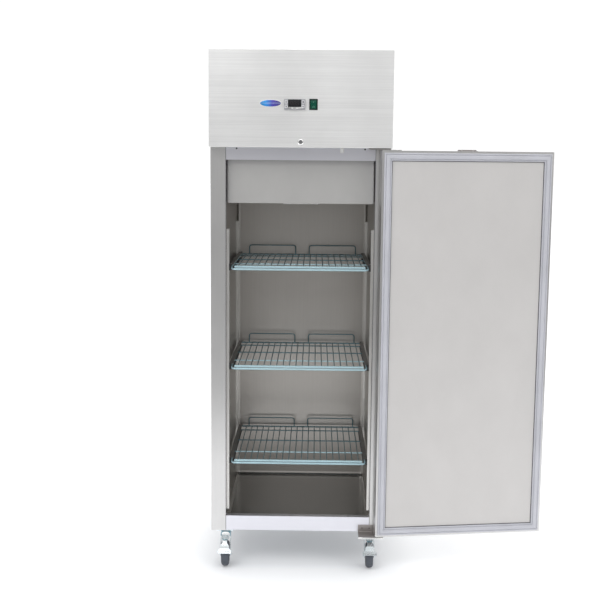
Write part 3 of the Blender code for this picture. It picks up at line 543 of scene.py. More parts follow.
def dress(node, look):
    """Gives a CAD node its material, and its sheet-metal edges a fine round that catches the light."""
    item = NODES[node]
    item.data.materials.clear()
    item.data.materials.append(LOOKS[look])
    item.data.shade_smooth()
    item.data.set_sharp_from_angle(angle=math.radians(30))
    if node in EASED_EDGES:
        edge = item.modifiers.new("eased_edges", "BEVEL")
        edge.width = EASED_EDGES[node]
        edge.segments = 2
        edge.limit_method = "ANGLE"
        edge.angle_limit = math.radians(50)
        edge.harden_normals = True


EASED_EDGES = {
    "fascia_panel": 0.0008,
    "opening_frame": 0.0008,
    "evaporator_cover": 0.0006,
    "door_skin": 0.0006,
    "door_inner_panel": 0.0006,
    "side_panel_left": 0.0004,
    "side_panel_right": 0.0004,
    "hinge_top_bracket": 0.0004,
    "lock_strike": 0.0006,
    "controller_housing": 0.0006,
    "switch_bezel": 0.0006,
}


DRESSES = {
    "side": ["side_panel_left", "side_panel_right"],
    "fascia": ["fascia_panel"],
    "door_skin": ["door_skin"],
    "upright": [f"pilaster_{a}_{b}" for a in ("front", "rear") for b in ("left", "right")],
    "liner": ["inner_liner"],
    "galvanised": ["base_panel", "roof_deck"],
    "frame": ["opening_frame"],
    "cover": ["evaporator_cover"],
    "door_panel": ["door_inner_panel"],
    "foam": ["cabinet_insulation", "door_insulation"],
    "bracket": ["hinge_top_bracket", "lock_strike"],
    "lock_face": ["lock_plug"],
    "bright": ["door_hinge_plate"],
    "rail": [f"shelf_rail_{a}_{b}" for a in ("bottom", "middle", "top") for b in ("left", "right")],
    "control": ["controller_housing"],
    "key": [f"controller_key_{a}_{b}" for a in ("left", "right") for b in ("lower", "upper")],
    "green_dark": ["switch_bezel"],
    "white": ["door_switch_plunger"],
    "fins": ["evaporator_coil"],
    "black_paint": ["evaporator_fan_motor", "condenser_fan_motor"],
}
for look_name, nodes in DRESSES.items():
    for node in nodes:
        dress(node, look_name)


# ---------------------------------------------------------------- screws


def screw(bm, centre, axis, sign, radius=0.0032, height=0.0013, dark=1):
    """A pan head with a near-black cross on it, painted shade for its recess. sign says which way along the
    axis it faces.
    """
    x, y, z = centre
    profile = [(radius, 0.0), (radius, sign * height * 0.35), (radius * 0.82, sign * height * 0.8),
               (radius * 0.45, sign * height), (0.0, sign * height)]
    lathe(bm, profile, centre, axis, 16)
    before = len(bm.faces)
    sides = axes_of(axis)
    long, thin = radius * 0.62, radius * 0.16
    for one, two in ((long, thin), (thin, long)):
        low, high = [0.0] * 3, [0.0] * 3
        low[sides[0]], high[sides[0]] = -one, one
        low[sides[1]], high[sides[1]] = -two, two
        ends = sorted((sign * height * 0.6, sign * (height * 1.06)))
        low[sides[2]], high[sides[2]] = ends
        block(bm, [a + b for a, b in zip(low, centre)], [a + b for a, b in zip(high, centre)])
    # Painted shade: the cross takes the near-black material in place of the recess's shadow.
    recoloured(bm, before, dark)


def screws(name, body, places, axis, sign, slot="zinc", look="bright", turn=None, **size):
    """One piece that holds all the screws of a row."""
    bm = fresh()
    for centre in places:
        screw(bm, centre, axis, sign, **size)
    make(name, bm, look + " dark", body, turn=turn)


def all_screws():
    """Every row of screws."""
    screws("header_screws", "cabinet", [(x, 0.0619, 1.6405) for x in (-0.241, 0.241)], "Y", -1, look="dark")
    rows = [(x, 0.7096, z) for x in (-0.329, 0.0, 0.329) for z in (0.17, 0.56, 0.95, 1.34, 1.69, 1.985)]
    screws("rear_panel_screws", "cabinet", rows, "Y", 1, radius=0.0045, height=0.00035)
    screws(
        "hinge_bottom_screws", "cabinet", [(x, 0.0619, 0.166) for x in (0.254, 0.282, 0.316)], "Y", -1,
        look="bracket", radius=0.0042, height=0.0009,
    )
    screws(
        "hinge_plate_screws", "door", [(x, 0.026, 1.64) for x in (0.268, 0.296)], "Z", 1,
        radius=0.0036, height=0.0004, turn=DOOR_TURN,
    )
    screws(
        "strike_screws", "door", [(x, 0.0305, 1.6388) for x in (-0.022, 0.022)], "Z", 1,
        radius=0.0036, height=0.001, turn=DOOR_TURN,
    )
    places = [(x, y, 1.435) for x in (-0.255, 0.255) for y in (0.115, 0.575)]
    screws("cover_screws", "cabinet", places, "Z", -1, radius=0.0042, height=0.0016)
    places = [(0.272 * s, y + 0.012, z) for s in (-1, 1) for y in (0.1, 0.596) for z in (0.238, 1.322)]
    for s, side in ((-1, "left"), (1, "right")):
        chosen = [p for p in places if p[0] * s > 0]
        screws(f"upright_screws_{side}", "cabinet", chosen, "X", -s, radius=0.0036, height=0.0012)


# ---------------------------------------------------------------- controls and badge


def oval(bm, centre, half_x, half_z, levels, steps=48):
    """A domed oval on a front face: levels are (share of size, y)."""
    rings = []
    for share, y in levels:
        ring = []
        for i in range(steps):
            a = 2 * math.pi * i / steps
            ring.append(
                bm.verts.new(
                    (centre[0] + half_x * share * math.cos(a), y, centre[2] + half_z * share * math.sin(a))
                )
            )
        rings.append(ring)
    bm.faces.new(rings[0])
    bm.faces.new(rings[-1])
    for one, two in zip(rings, rings[1:]):
        for i in range(steps):
            j = (i + 1) % steps
            bm.faces.new((one[i], one[j], two[j], two[i]))
    return bm


def badge():
    """The oval badge: a white rim and an enamelled dome, with no lettering."""
    rim = oval(
        fresh(), BADGE, 0.0408, 0.0142, [(1.0, -0.0002), (1.0, -0.0012), (0.985, -0.0018), (0.93, -0.002)],
    )
    make("badge_rim", rim, "white")
    dome = oval(
        fresh(), BADGE, 0.0385, 0.0122,
        [(1.0, -0.0016), (0.995, -0.0024), (0.95, -0.003), (0.8, -0.0036), (0.5, -0.0041), (0.2, -0.0043)],
    )
    make("badge_dome", dome, "badge")


def controls():
    """Display, lip and lamps, marks on keys and rocker, lock ring and door-switch collar."""
    x, z = CONTROLLER_X, CONTROL_Z
    glass = block(fresh(), (x - 0.0243, -0.0089, z - 0.01), (x + 0.0243, -0.0062, z + 0.0174), 0.0006)
    make("controller_display", glass, "glass")
    bm = fresh()
    for digit in (-0.0115, 0.0, 0.0115):
        for dx, dz, wide, tall in (
            (0, 0.0085, 0.003, 0.0006), (0, 0.0, 0.003, 0.0006), (0, -0.0085, 0.003, 0.0006),
            (-0.0036, 0.0043, 0.0006, 0.0034), (0.0036, 0.0043, 0.0006, 0.0034),
            (-0.0036, -0.0043, 0.0006, 0.0034), (0.0036, -0.0043, 0.0006, 0.0034),
        ):
            cx, cz = x + digit + dx + dz * 0.08, z + 0.0036 + dz * 0.72
            block(bm, (cx - wide, -0.00905, cz - tall * 0.8), (cx + wide, -0.0088, cz + tall * 0.8))
    make("controller_segments", bm, "segment")
    lip = fresh()
    steps = 24
    outer, inner = [], []
    for i in range(steps + 1):
        t = i / steps * 2 - 1
        outer.append((x + 0.03 * t, z - 0.0118 - 0.0062 * (1 - t * t) ** 0.5))
        inner.append((x + 0.03 * t, z - 0.01 - 0.0006 * (1 - t * t)))
    extrude(lip, outer + inner[::-1][1:-1], "Y", -0.0098, -0.0082)
    edges = [e for e in lip.edges if all(v.co.y < -0.0097 for v in e.verts)]
    bmesh.ops.bevel(lip, geom=edges, offset=0.0007, segments=2, profile=0.5, affect="EDGES")
    make("controller_lip", lip, "bright")
    marks = fresh()
    for dx in (-0.0085, 0.0085):
        oval(
            marks, (x + dx, 0.0, z - 0.014), 0.0042, 0.0016, [(1.0, -0.0097), (1.0, -0.01), (0.8, -0.0102)],
            20,
        )
    make("controller_lamps", marks, "white")
    glyphs = {
        "left_upper": [(0, 0.0026), (-0.0028, -0.0018), (0.0028, -0.0018)],
        "left_lower": [(0, -0.0026), (0.0028, 0.0018), (-0.0028, 0.0018)],
        "right_upper": [
            (0.0026 * math.cos(a * math.pi / 6), 0.0026 * math.sin(a * math.pi / 6)) for a in range(12)
        ],
        "right_lower": [(-0.0027, -0.0009), (0.0027, -0.0009), (0.0027, 0.0009), (-0.0027, 0.0009)],
    }
    for key, outline in glyphs.items():
        low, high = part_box(f"controller_key_{key}")
        cx, cz = (low.x + high.x) / 2 - SHIFT.x, (low.z + high.z) / 2
        front = low.y - SHIFT.y
        bm = extrude(fresh(), [(cx + a, cz + b) for a, b in outline], "Y", front - 0.00015, front + 0.0003)
        make(f"key_mark_{key}", bm, "dark", f"key_{key}")

    turn = about((SWITCH_X, 0.0, CONTROL_Z), "X", ROCKER_TILT)
    outline = []
    for i in range(17):
        t = i / 16 * 2 - 1
        outline.append((-0.0012 - 0.0033 * t * t, CONTROL_Z + 0.0148 * t))
    outline += [
        (0.001, CONTROL_Z + 0.0155), (0.007, CONTROL_Z + 0.006), (0.007, CONTROL_Z - 0.006),
        (0.001, CONTROL_Z - 0.0155),
    ]
    bm = extrude(fresh(), outline, "X", SWITCH_X - 0.011, SWITCH_X + 0.011)
    edges = [e for e in bm.edges if flat_in_x(e) and all(v.co.y < -0.0011 for v in e.verts)]
    soften(bm, edges, 0.001, 3)
    make("rocker_cap", bm, "green", "switch_rocker", ["switch_rocker"], 40, turn)
    bm = fresh()
    block(
        bm, (SWITCH_X - 0.0006, -0.0036, CONTROL_Z + 0.006),
        (SWITCH_X + 0.0006, -0.0016, CONTROL_Z + 0.0112),
    )
    ring = [
        (SWITCH_X + 0.003 * math.cos(a), -0.0026, CONTROL_Z - 0.0085 + 0.003 * math.sin(a))
        for a in [math.pi * k / 10 for k in range(20)]
    ]
    tube(bm, ring, 0.0006, 6, True)
    make("rocker_marks", bm, "mark", "switch_rocker", turn=turn)

    dome = [
        (0.0074, -0.0001), (0.012, -0.0001), (0.012, -0.0006), (0.0117, -0.001), (0.0086, -0.0038),
        (0.008, -0.0041), (0.0075, -0.0036),
    ]
    ring = lathe(fresh(), dome, (0.0, 0.0, 1.665), "Y", 40, True)
    make("lock_ring", ring, "bright")
    collar = fresh()
    block(collar, (0.1478, 0.0606, 1.6262), (0.1502, 0.0618, 1.6448), 0.0004)
    block(collar, (0.1598, 0.0606, 1.6262), (0.1622, 0.0618, 1.6448), 0.0004)
    block(collar, (0.1478, 0.0606, 1.6262), (0.1622, 0.0618, 1.6288), 0.0004)
    make("door_switch_collar", collar, "white")


# ---------------------------------------------------------------- shelves


def shelf(level, z):
    """Round wires: a frame that dips in front, a row of long wires, cross wires and two back stops."""
    bm = fresh()
    front, back = 0.0935, 0.6295
    half, r = 0.2625, 0.0034
    lower = z - 0.0096
    loop = [
        (0.0, back, z), (-half, back, z), (-half, 0.115, z), (-half, 0.0945, lower), (0.0, 0.0945, lower),
        (half, 0.0945, lower), (half, 0.115, z), (half, back, z), (0.0, back, z),
    ]
    tube(bm, eased(loop, 0.01, 6)[:-1], r, 12, True)
    tube(bm, [(-0.251, front + 0.001, z + 0.0002), (0.251, front + 0.001, z + 0.0002)], 0.0044, 16)
    tube(bm, [(-0.254, front + 0.001, z - 0.0098), (0.254, front + 0.001, z - 0.0098)], 0.0044, 16)
    tube(bm, [(-half, 0.229, z - 0.0026), (half, 0.229, z - 0.0026)], 0.0026, 10)
    outer = len(bm.faces)
    for y in (0.405, 0.571):
        tube(bm, [(-half, y, z - 0.0026), (half, y, z - 0.0026)], 0.0026, 10)
    for i in range(20):
        x = (i - 9.5) * 0.025
        tube(bm, [(x, front + 0.002, z + 0.0014), (x, 0.3, z + 0.0014), (x, back, z + 0.0014)], 0.002, 8)
    for low, high in ((-0.2265, -0.0265), (0.0325, 0.2325)):
        path = [
            (low, back - 0.001, z - 0.001), (low, back - 0.001, z + 0.04), (high, back - 0.001, z + 0.04),
            (high, back - 0.001, z - 0.001),
        ]
        tube(bm, eased(path, 0.012, 6), 0.0025, 10)
    # Painted shade: the rear cross wires, the long wires, the back stops and every face behind the middle
    # take the darker copy of the coat.
    recoloured(bm, outer, 1)
    for face in bm.faces:
        if face.calc_center_median().y > 0.45:
            face.material_index = 1
    make(f"wire_shelf_{level}", bm, "wire wire_inner", f"shelf_{level}", [f"shelf_{level}"], 50)


def rail_ends():
    """Black blocks at the front ends of the rails' lower lips."""
    for level, z in SHELF_LEVELS.items():
        for side, sign in (("left", -1), ("right", 1)):
            bm = fresh()
            xs = sorted((sign * 0.2672, sign * 0.2722))
            block(bm, (xs[0], 0.0965, z - 0.015), (xs[1], 0.1, z + 0.0112), 0.001, 2)
            make(f"rail_end_{level}_{side}", bm, "black")


# ---------------------------------------------------------------- door


def mitred(bm, profile, half, low, high):
    """A closed frame: each profile point is (inset from the edge, y)."""
    loops = []
    for inset, y in profile:
        x, a, b = half - inset, low + inset, high - inset
        loops.append([bm.verts.new(p) for p in ((-x, y, a), (x, y, a), (x, y, b), (-x, y, b))])
    for one, two in zip(loops, loops[1:] + loops[:1]):
        for i in range(4):
            j = (i + 1) % 4
            bm.faces.new((one[i], one[j], two[j], two[i]))
    return bm


def door_parts():
    """The gasket's profile and the pull handle."""
    base = 0.0518
    profile = [
        (0.008, base), (0.008, 0.0556), (0.0086, 0.0576), (0.0102, 0.0588), (0.0122, 0.059),
        (0.0136, 0.058),
        (0.0144, 0.0566), (0.0152, 0.058), (0.0164, 0.0602), (0.0182, 0.0614), (0.0202, 0.0616),
        (0.0262, 0.0616), (0.0282, 0.0613), (0.0298, 0.06), (0.0308, 0.0578), (0.0316, 0.0562),
        (0.0324, 0.0576), (0.0338, 0.0586), (0.0354, 0.0582), (0.0366, 0.0566), (0.037, 0.0548),
        (0.037, base),
    ]
    bm = mitred(fresh(), profile, DOOR_HALF, DOOR_BOTTOM, DOOR_TOP)
    make("gasket_profile", bm, "gasket", "door", ["door_gasket"], 55, DOOR_TURN)

    hx, hz, half_x, half_z = -0.268, 0.985, 0.035, 0.095
    steps, corner = 8, 0.012

    def rounded_ring(bm, grow, y, left=None):
        x0, x1 = hx - half_x + grow if left is None else left, hx + half_x - grow
        z0, z1 = hz - half_z + grow, hz + half_z - grow
        r = max(corner - grow, 0.004)
        ring = []
        for cx, cz, start in (
            (x1 - r, z1 - r, 0), (x0 + r, z1 - r, 90), (x0 + r, z0 + r, 180), (x1 - r, z0 + r, 270),
        ):
            for i in range(steps + 1):
                a = math.radians(start + 90 * i / steps)
                ring.append(bm.verts.new((cx + r * math.cos(a), y, cz + r * math.sin(a))))
        return ring

    bm = fresh()
    rings = [
        rounded_ring(bm, 0.0006, 0.0011), rounded_ring(bm, 0.0, 0.0004), rounded_ring(bm, 0.0006, -0.0008),
        rounded_ring(bm, 0.0022, -0.0012), rounded_ring(bm, 0.008, -0.0012, hx - 0.0165),
        rounded_ring(bm, 0.0092, -0.0002, hx - 0.0155),
        rounded_ring(bm, 0.01, 0.006, hx - 0.0145), rounded_ring(bm, 0.0105, 0.024, hx - 0.024),
        rounded_ring(bm, 0.013, 0.0272, hx - 0.0215),
        rounded_ring(bm, 0.019, 0.028, hx - 0.016),
    ]
    for one, two in zip(rings, rings[1:]):
        for i in range(len(one)):
            j = (i + 1) % len(one)
            bm.faces.new((one[i], one[j], two[j], two[i]))
    bm.faces.new(rings[-1])
    outer = [rings[0], rounded_ring(bm, 0.0072, 0.0014), rounded_ring(bm, 0.0072, 0.0298)]
    for one, two in zip(outer, outer[1:]):
        for i in range(len(one)):
            j = (i + 1) % len(one)
            bm.faces.new((one[i], two[i], two[j], one[j]))
    bm.faces.new(outer[-1][::-1])
    make("pull_handle", bm, "black", "door", ["door_handle"], 40, DOOR_TURN)


def hinge_foot():
    """The lower hinge bracket: a flange on the frame, a step under the door and a turned-down front lip."""
    bm = fresh()
    face = 0.062
    outline = [
        (face, 0.179), (face + 0.0025, 0.179), (face + 0.0025, 0.1481), (0.0, 0.1481), (-0.0022, 0.1474),
        (-0.0024, 0.1456),
        (-0.0049, 0.1456), (-0.0049, 0.149), (-0.004, 0.1502), (-0.002, 0.1506), (face - 0.0012, 0.1506),
        (face, 0.1518),
    ]
    extrude(bm, outline, "X", 0.238, 0.334)
    edges = [e for e in bm.edges if flat_in_x(e)]
    soften(bm, edges, 0.0005, 2)
    # Painted highlight: the turned-down front lip takes the lighter bright material, for the bright line
    # along the bracket's front edge.
    for item in bm.faces:
        item.material_index = 1 if item.calc_center_median().y < -0.0025 else 0
    lathe(bm, [(0.0048, 0.15), (0.0048, 0.159), (0.004, 0.1598)], (HINGE[0], HINGE[1], 0.0), "Z", 24)
    make("hinge_foot", bm, "bracket bright", stands_for=["hinge_bottom_bracket"])


def perforated(bm, xs, zs, holes, front, back):
    """A flat sheet on a grid, with some of its cells left open."""
    cells = [(i, j) for i in range(len(xs) - 1) for j in range(len(zs) - 1) if (i, j) not in holes]
    rows = {}
    for y in (front, back):
        for i, x in enumerate(xs):
            for j, z in enumerate(zs):
                rows[i, j, y] = bm.verts.new((x, y, z))
    for i, j in cells:
        for y in (front, back):
            bm.faces.new([rows[a, b, y] for a, b in ((i, j), (i + 1, j), (i + 1, j + 1), (i, j + 1))])
        for (da, db), one, two in (
            ((-1, 0), (i, j), (i, j + 1)), ((1, 0), (i + 1, j), (i + 1, j + 1)),
            ((0, -1), (i, j), (i + 1, j)), ((0, 1), (i, j + 1), (i + 1, j + 1)),
        ):
            if (i + da, j + db) not in cells:
                bm.faces.new(
                    [rows[(*one, front)], rows[(*two, front)], rows[(*two, back)], rows[(*one, back)]]
                )
    for v in [v for v in bm.verts if not v.link_faces]:
        bm.verts.remove(v)


def back_sheet():
    """The back panel, with sixteen slots and a slanted blade inside each."""
    xs = [-0.3385, -0.245, -0.055, 0.055, 0.245, 0.3385]
    levels = [1.765 + 0.026 * i for i in range(8)]
    zs = [0.1503] + [z + d for z in levels for d in (-0.005, 0.005)] + [1.9997]
    holes = {(i, 2 * k + 1) for i in (1, 3) for k in range(8)}
    bm = fresh()
    perforated(bm, xs, zs, holes, 0.709, 0.7096)
    for low, high in ((-0.245, -0.055), (0.055, 0.245)):
        for z in levels:
            outline = [(0.7092, z + 0.0052), (0.7092, z + 0.006), (0.6985, z - 0.003), (0.6985, z - 0.004)]
            extrude(bm, outline, "X", low + 0.0004, high - 0.0004)
    make("back_sheet", bm, "galvanised", stands_for=["rear_panel"])


def shade_strips_and_trims():
    """Dark strips of painted shade in the joints between jambs and surround and in the door panel's channel,
    and the cover's side flanges.
    """
    bm = fresh()
    # Painted shade: a near-black strip in each joint between a jamb and the surround.
    for s in (-1, 1):
        xs = sorted((s * 0.2812, s * 0.283))
        block(bm, (xs[0], 0.0616, 0.18 if s > 0 else 0.1508), (xs[1], 0.063, 1.6446), 0.0003, 1)
    make("jamb_joints", bm, "shade_strip")
    bm = fresh()
    for s in (-1, 1):
        xs = sorted((s * 0.2746, s * 0.2782))
        block(bm, (xs[0], 0.095, 1.4365), (xs[1], 0.599, 1.627), 0.0006, 2)
    make("cover_flanges", bm, "cover")
    # Painted shade: a near-black frame in the channel between the gasket and the door panel.
    bm = mitred(
        fresh(), [(0.0364, 0.0516), (0.0364, 0.053), (0.0392, 0.053), (0.0392, 0.0516)], DOOR_HALF,
        DOOR_BOTTOM, DOOR_TOP,
    )
    make("panel_channel", bm, "shade_strip", "door", turn=DOOR_TURN)


# ---------------------------------------------------------------- refrigeration unit


def compressor():
    """The compressor's shell on its base, with feet and nuts."""
    x, y, d = -0.165, 0.42, DECK_Z
    bm = fresh()
    profile = [
        (0.0, 0.017), (0.06, 0.017), (0.074, 0.02), (0.083, 0.029), (0.0862, 0.045), (0.0872, 0.074),
        (0.0905, 0.075), (0.0905, 0.079), (0.0875, 0.08), (0.0868, 0.098), (0.085, 0.118), (0.0805, 0.138),
        (0.0715, 0.155), (0.057, 0.167), (0.038, 0.1738), (0.018, 0.1765), (0.0, 0.177),
    ]
    lathe(bm, profile, (x, y, d), "Z", 64)
    block(bm, (x + 0.07, y - 0.034, d + 0.048), (x + 0.117, y + 0.034, d + 0.122), 0.008, 4)
    for angle in (35, 145, 215):
        a = math.radians(angle)
        cx, cy = x + 0.0885 * math.cos(a), y + 0.0885 * math.sin(a)
        lathe(
            bm, [(0.0085, 0.0), (0.0085, 0.012), (0.0065, 0.014), (0.0065, 0.022)], (cx, cy, d + 0.098),
            "Z", 20,
        )
    make("compressor_shell", bm, "black_paint", stands_for=["compressor"])
    bm = fresh()
    block(bm, (x - 0.105, y - 0.075, d + 0.012), (x + 0.105, y + 0.075, d + 0.0145), 0.006, 3,
          lambda a, b: abs(a.z - b.z) > 1e-4)
    for i in (-1, 1):
        block(
            bm, (x - 0.105, y + i * 0.075 - 0.0012, d + 0.012),
            (x + 0.105, y + i * 0.075 + 0.0012, d + 0.023), 0.0005,
        )
    make("compressor_base", bm, "black_paint")
    bm = fresh()
    for i in (-1, 1):
        for j in (-1, 1):
            centre = (x + i * 0.088, y + j * 0.056, d)
            lathe(
                bm, [(0.013, 0.0), (0.0135, 0.003), (0.0105, 0.0055), (0.0125, 0.008), (0.012, 0.0118)],
                centre, "Z", 24,
            )
            lathe(bm, [(0.0105, 0.0146), (0.0105, 0.018), (0.006, 0.019)], centre, "Z", 24)
    make("compressor_feet", bm, "sleeve")
    bm = fresh()
    for i in (-1, 1):
        for j in (-1, 1):
            hexagon(bm, (x + i * 0.088, y + j * 0.056, d), "Z", 0.01, 0.0188, 0.0245)
            lathe(
                bm, [(0.003, 0.018), (0.003, 0.029), (0.0022, 0.03)], (x + i * 0.088, y + j * 0.056, d),
                "Z", 12,
            )
    make("compressor_nuts", bm, "zinc")


def serpentine(bm, xs, ys, zs, radius, bend_x, y_shift=0.0):
    """Straight tubes between two ends with a U-bend outside every second pair."""
    low, high = xs
    for y in ys:
        for k, z in enumerate(zs):
            tube(bm, [(low - 0.004, y, z), (high + 0.004, y, z)], radius, 8)
            if k + 1 < len(zs):
                side = high + 0.004 if k % 2 == 0 else low - 0.004
                reach = bend_x if k % 2 == 0 else -bend_x
                arc = []
                for i in range(9):
                    a = math.pi * i / 8
                    middle = (z + zs[k + 1]) / 2
                    arc.append((side + reach * math.sin(a), y, middle - (zs[k + 1] - z) / 2 * math.cos(a)))
                tube(bm, arc, radius, 8)


def condenser():
    """The condenser's fins and tubes, its shroud and the fan guard."""
    d = DECK_Z
    bm = fresh()
    fins = 72
    for i in range(fins):
        x = 0.036 + (0.304 - 0.036) * i / (fins - 1)
        block(bm, (x - 0.00022, 0.13, d + 0.004), (x + 0.00022, 0.178, 1.934))
    make("condenser_fins", bm, "fins", stands_for=["condenser_coil"])
    bm = fresh()
    for x in (0.0325, 0.3075):
        block(bm, (x - 0.001, 0.1262, d + 0.001), (x + 0.001, 0.1818, 1.9398), 0.0003)
        block(bm, (x - 0.006, 0.181, d + 0.001), (x + 0.006, 0.1822, 1.9398), 0.0003)
    block(bm, (0.0325, 0.1262, 1.9386), (0.3075, 0.1818, 1.94), 0.0003)
    block(bm, (0.0325, 0.1262, d + 0.0005), (0.3075, 0.1818, d + 0.002), 0.0003)
    cx, cz, r = 0.165, 1.822, 0.1015
    steps = 48
    plate = [
        bm.verts.new(
            (cx + r * math.cos(2 * math.pi * i / steps), 0.182, cz + r * math.sin(2 * math.pi * i / steps))
        )
        for i in range(steps)
    ]
    square = []
    for i in range(steps):
        a = 2 * math.pi * i / steps
        u, v = math.cos(a), math.sin(a)
        k = 0.113 / max(abs(u), abs(v))
        square.append(bm.verts.new((cx + u * k, 0.182, cz + v * k * 1.02)))
    lip = [
        bm.verts.new(
            (cx + r * math.cos(2 * math.pi * i / steps), 0.195, cz + r * math.sin(2 * math.pi * i / steps))
        )
        for i in range(steps)
    ]
    for one, two in ((square, plate), (plate, lip)):
        for i in range(steps):
            j = (i + 1) % steps
            bm.faces.new((one[i], one[j], two[j], two[i]))
    bmesh.ops.solidify(
        bm,
        geom=[f for f in bm.faces if len(f.verts) == 4 and all(v in plate + square + lip for v in f.verts)],
        thickness=0.001,
    )
    make("condenser_shroud", bm, "galvanised")
    bm = fresh()
    zs = [d + 0.018 + 0.0265 * k for k in range(9)]
    serpentine(bm, (0.031, 0.309), (0.142, 0.166), zs, 0.004, 0.012)
    make("condenser_tubes", bm, "copper")
    bm = fresh()
    for ring in (0.03, 0.05, 0.07, 0.09, 0.1045):
        circle = [
            (cx + ring * math.cos(2 * math.pi * k / 40), 0.234, cz + ring * math.sin(2 * math.pi * k / 40))
            for k in range(40)
        ]
        tube(bm, circle, 0.0013, 6, True)
    for k in range(4):
        a = math.pi / 4 + math.pi / 2 * k
        points = [
            (cx + q * math.cos(a), yy, cz + q * math.sin(a))
            for q, yy in ((0.03, 0.2355), (0.1045, 0.2355), (0.11, 0.225), (0.11, 0.1835))
        ]
        tube(bm, eased(points, 0.005, 4), 0.0018, 6)
    make("condenser_fan_guard", bm, "black_paint")


def fan_wheel(name, body, node, axis, centre, radius, hub, blades, low, high):
    """A moulded fan: a domed hub and curved, swept blades."""
    bm = fresh()
    lathe(
        bm,
        [
            (0.0, low), (hub * 0.7, low), (hub * 0.92, low + 0.003), (hub, low + 0.007), (hub, high),
            (hub * 0.8, high), (0.0, high),
        ],
        (0, 0, 0), "Z", 36,
    )
    lathe(bm, [(0.0029, high), (0.0029, high + 0.008)], (0, 0, 0), "Z", 12)
    for b in range(blades):
        rows = []
        for i in range(7):
            t = i / 6
            r = hub * 0.92 + (radius - hub * 0.92) * t
            chord = 0.017 + 0.01 * math.sin(math.pi * min(t * 0.8 + 0.1, 1.0))
            pitch = math.radians(34 - 14 * t)
            sweep = 0.1 * t
            row = []
            for j in range(6):
                s = (j / 5 - 0.5) * 2
                arch = 0.0022 * (1 - s * s)
                u = chord * s
                angle = 2 * math.pi * b / blades + sweep + u * math.cos(pitch) / r
                height = u * math.sin(pitch) * 0.55 + arch
                row.append(Vector((r * math.cos(angle), r * math.sin(angle), height)))
            rows.append(row)
        top = [[bm.verts.new(p + Vector((0, 0, 0.0008))) for p in row] for row in rows]
        under = [[bm.verts.new(p - Vector((0, 0, 0.0008))) for p in row] for row in rows]
        for sheet in (top, under):
            for i in range(6):
                for j in range(5):
                    bm.faces.new((sheet[i][j], sheet[i + 1][j], sheet[i + 1][j + 1], sheet[i][j + 1]))
        rim = [(i, 0) for i in range(7)] + [(6, j) for j in range(1, 6)]
        rim += [(i, 5) for i in range(5, -1, -1)] + [(0, j) for j in range(4, 0, -1)]
        for (a, c), (e, f) in zip(rim, rim[1:] + rim[:1]):
            bm.faces.new((top[a][c], top[e][f], under[e][f], under[a][c]))
    lay = Matrix.Rotation(math.radians(-90), 4, "X") if axis == "Y" else Matrix.Identity(4)
    bmesh.ops.transform(bm, matrix=Matrix.Translation(centre) @ lay, verts=bm.verts)
    make(name, bm, "black", body, [node], 40)


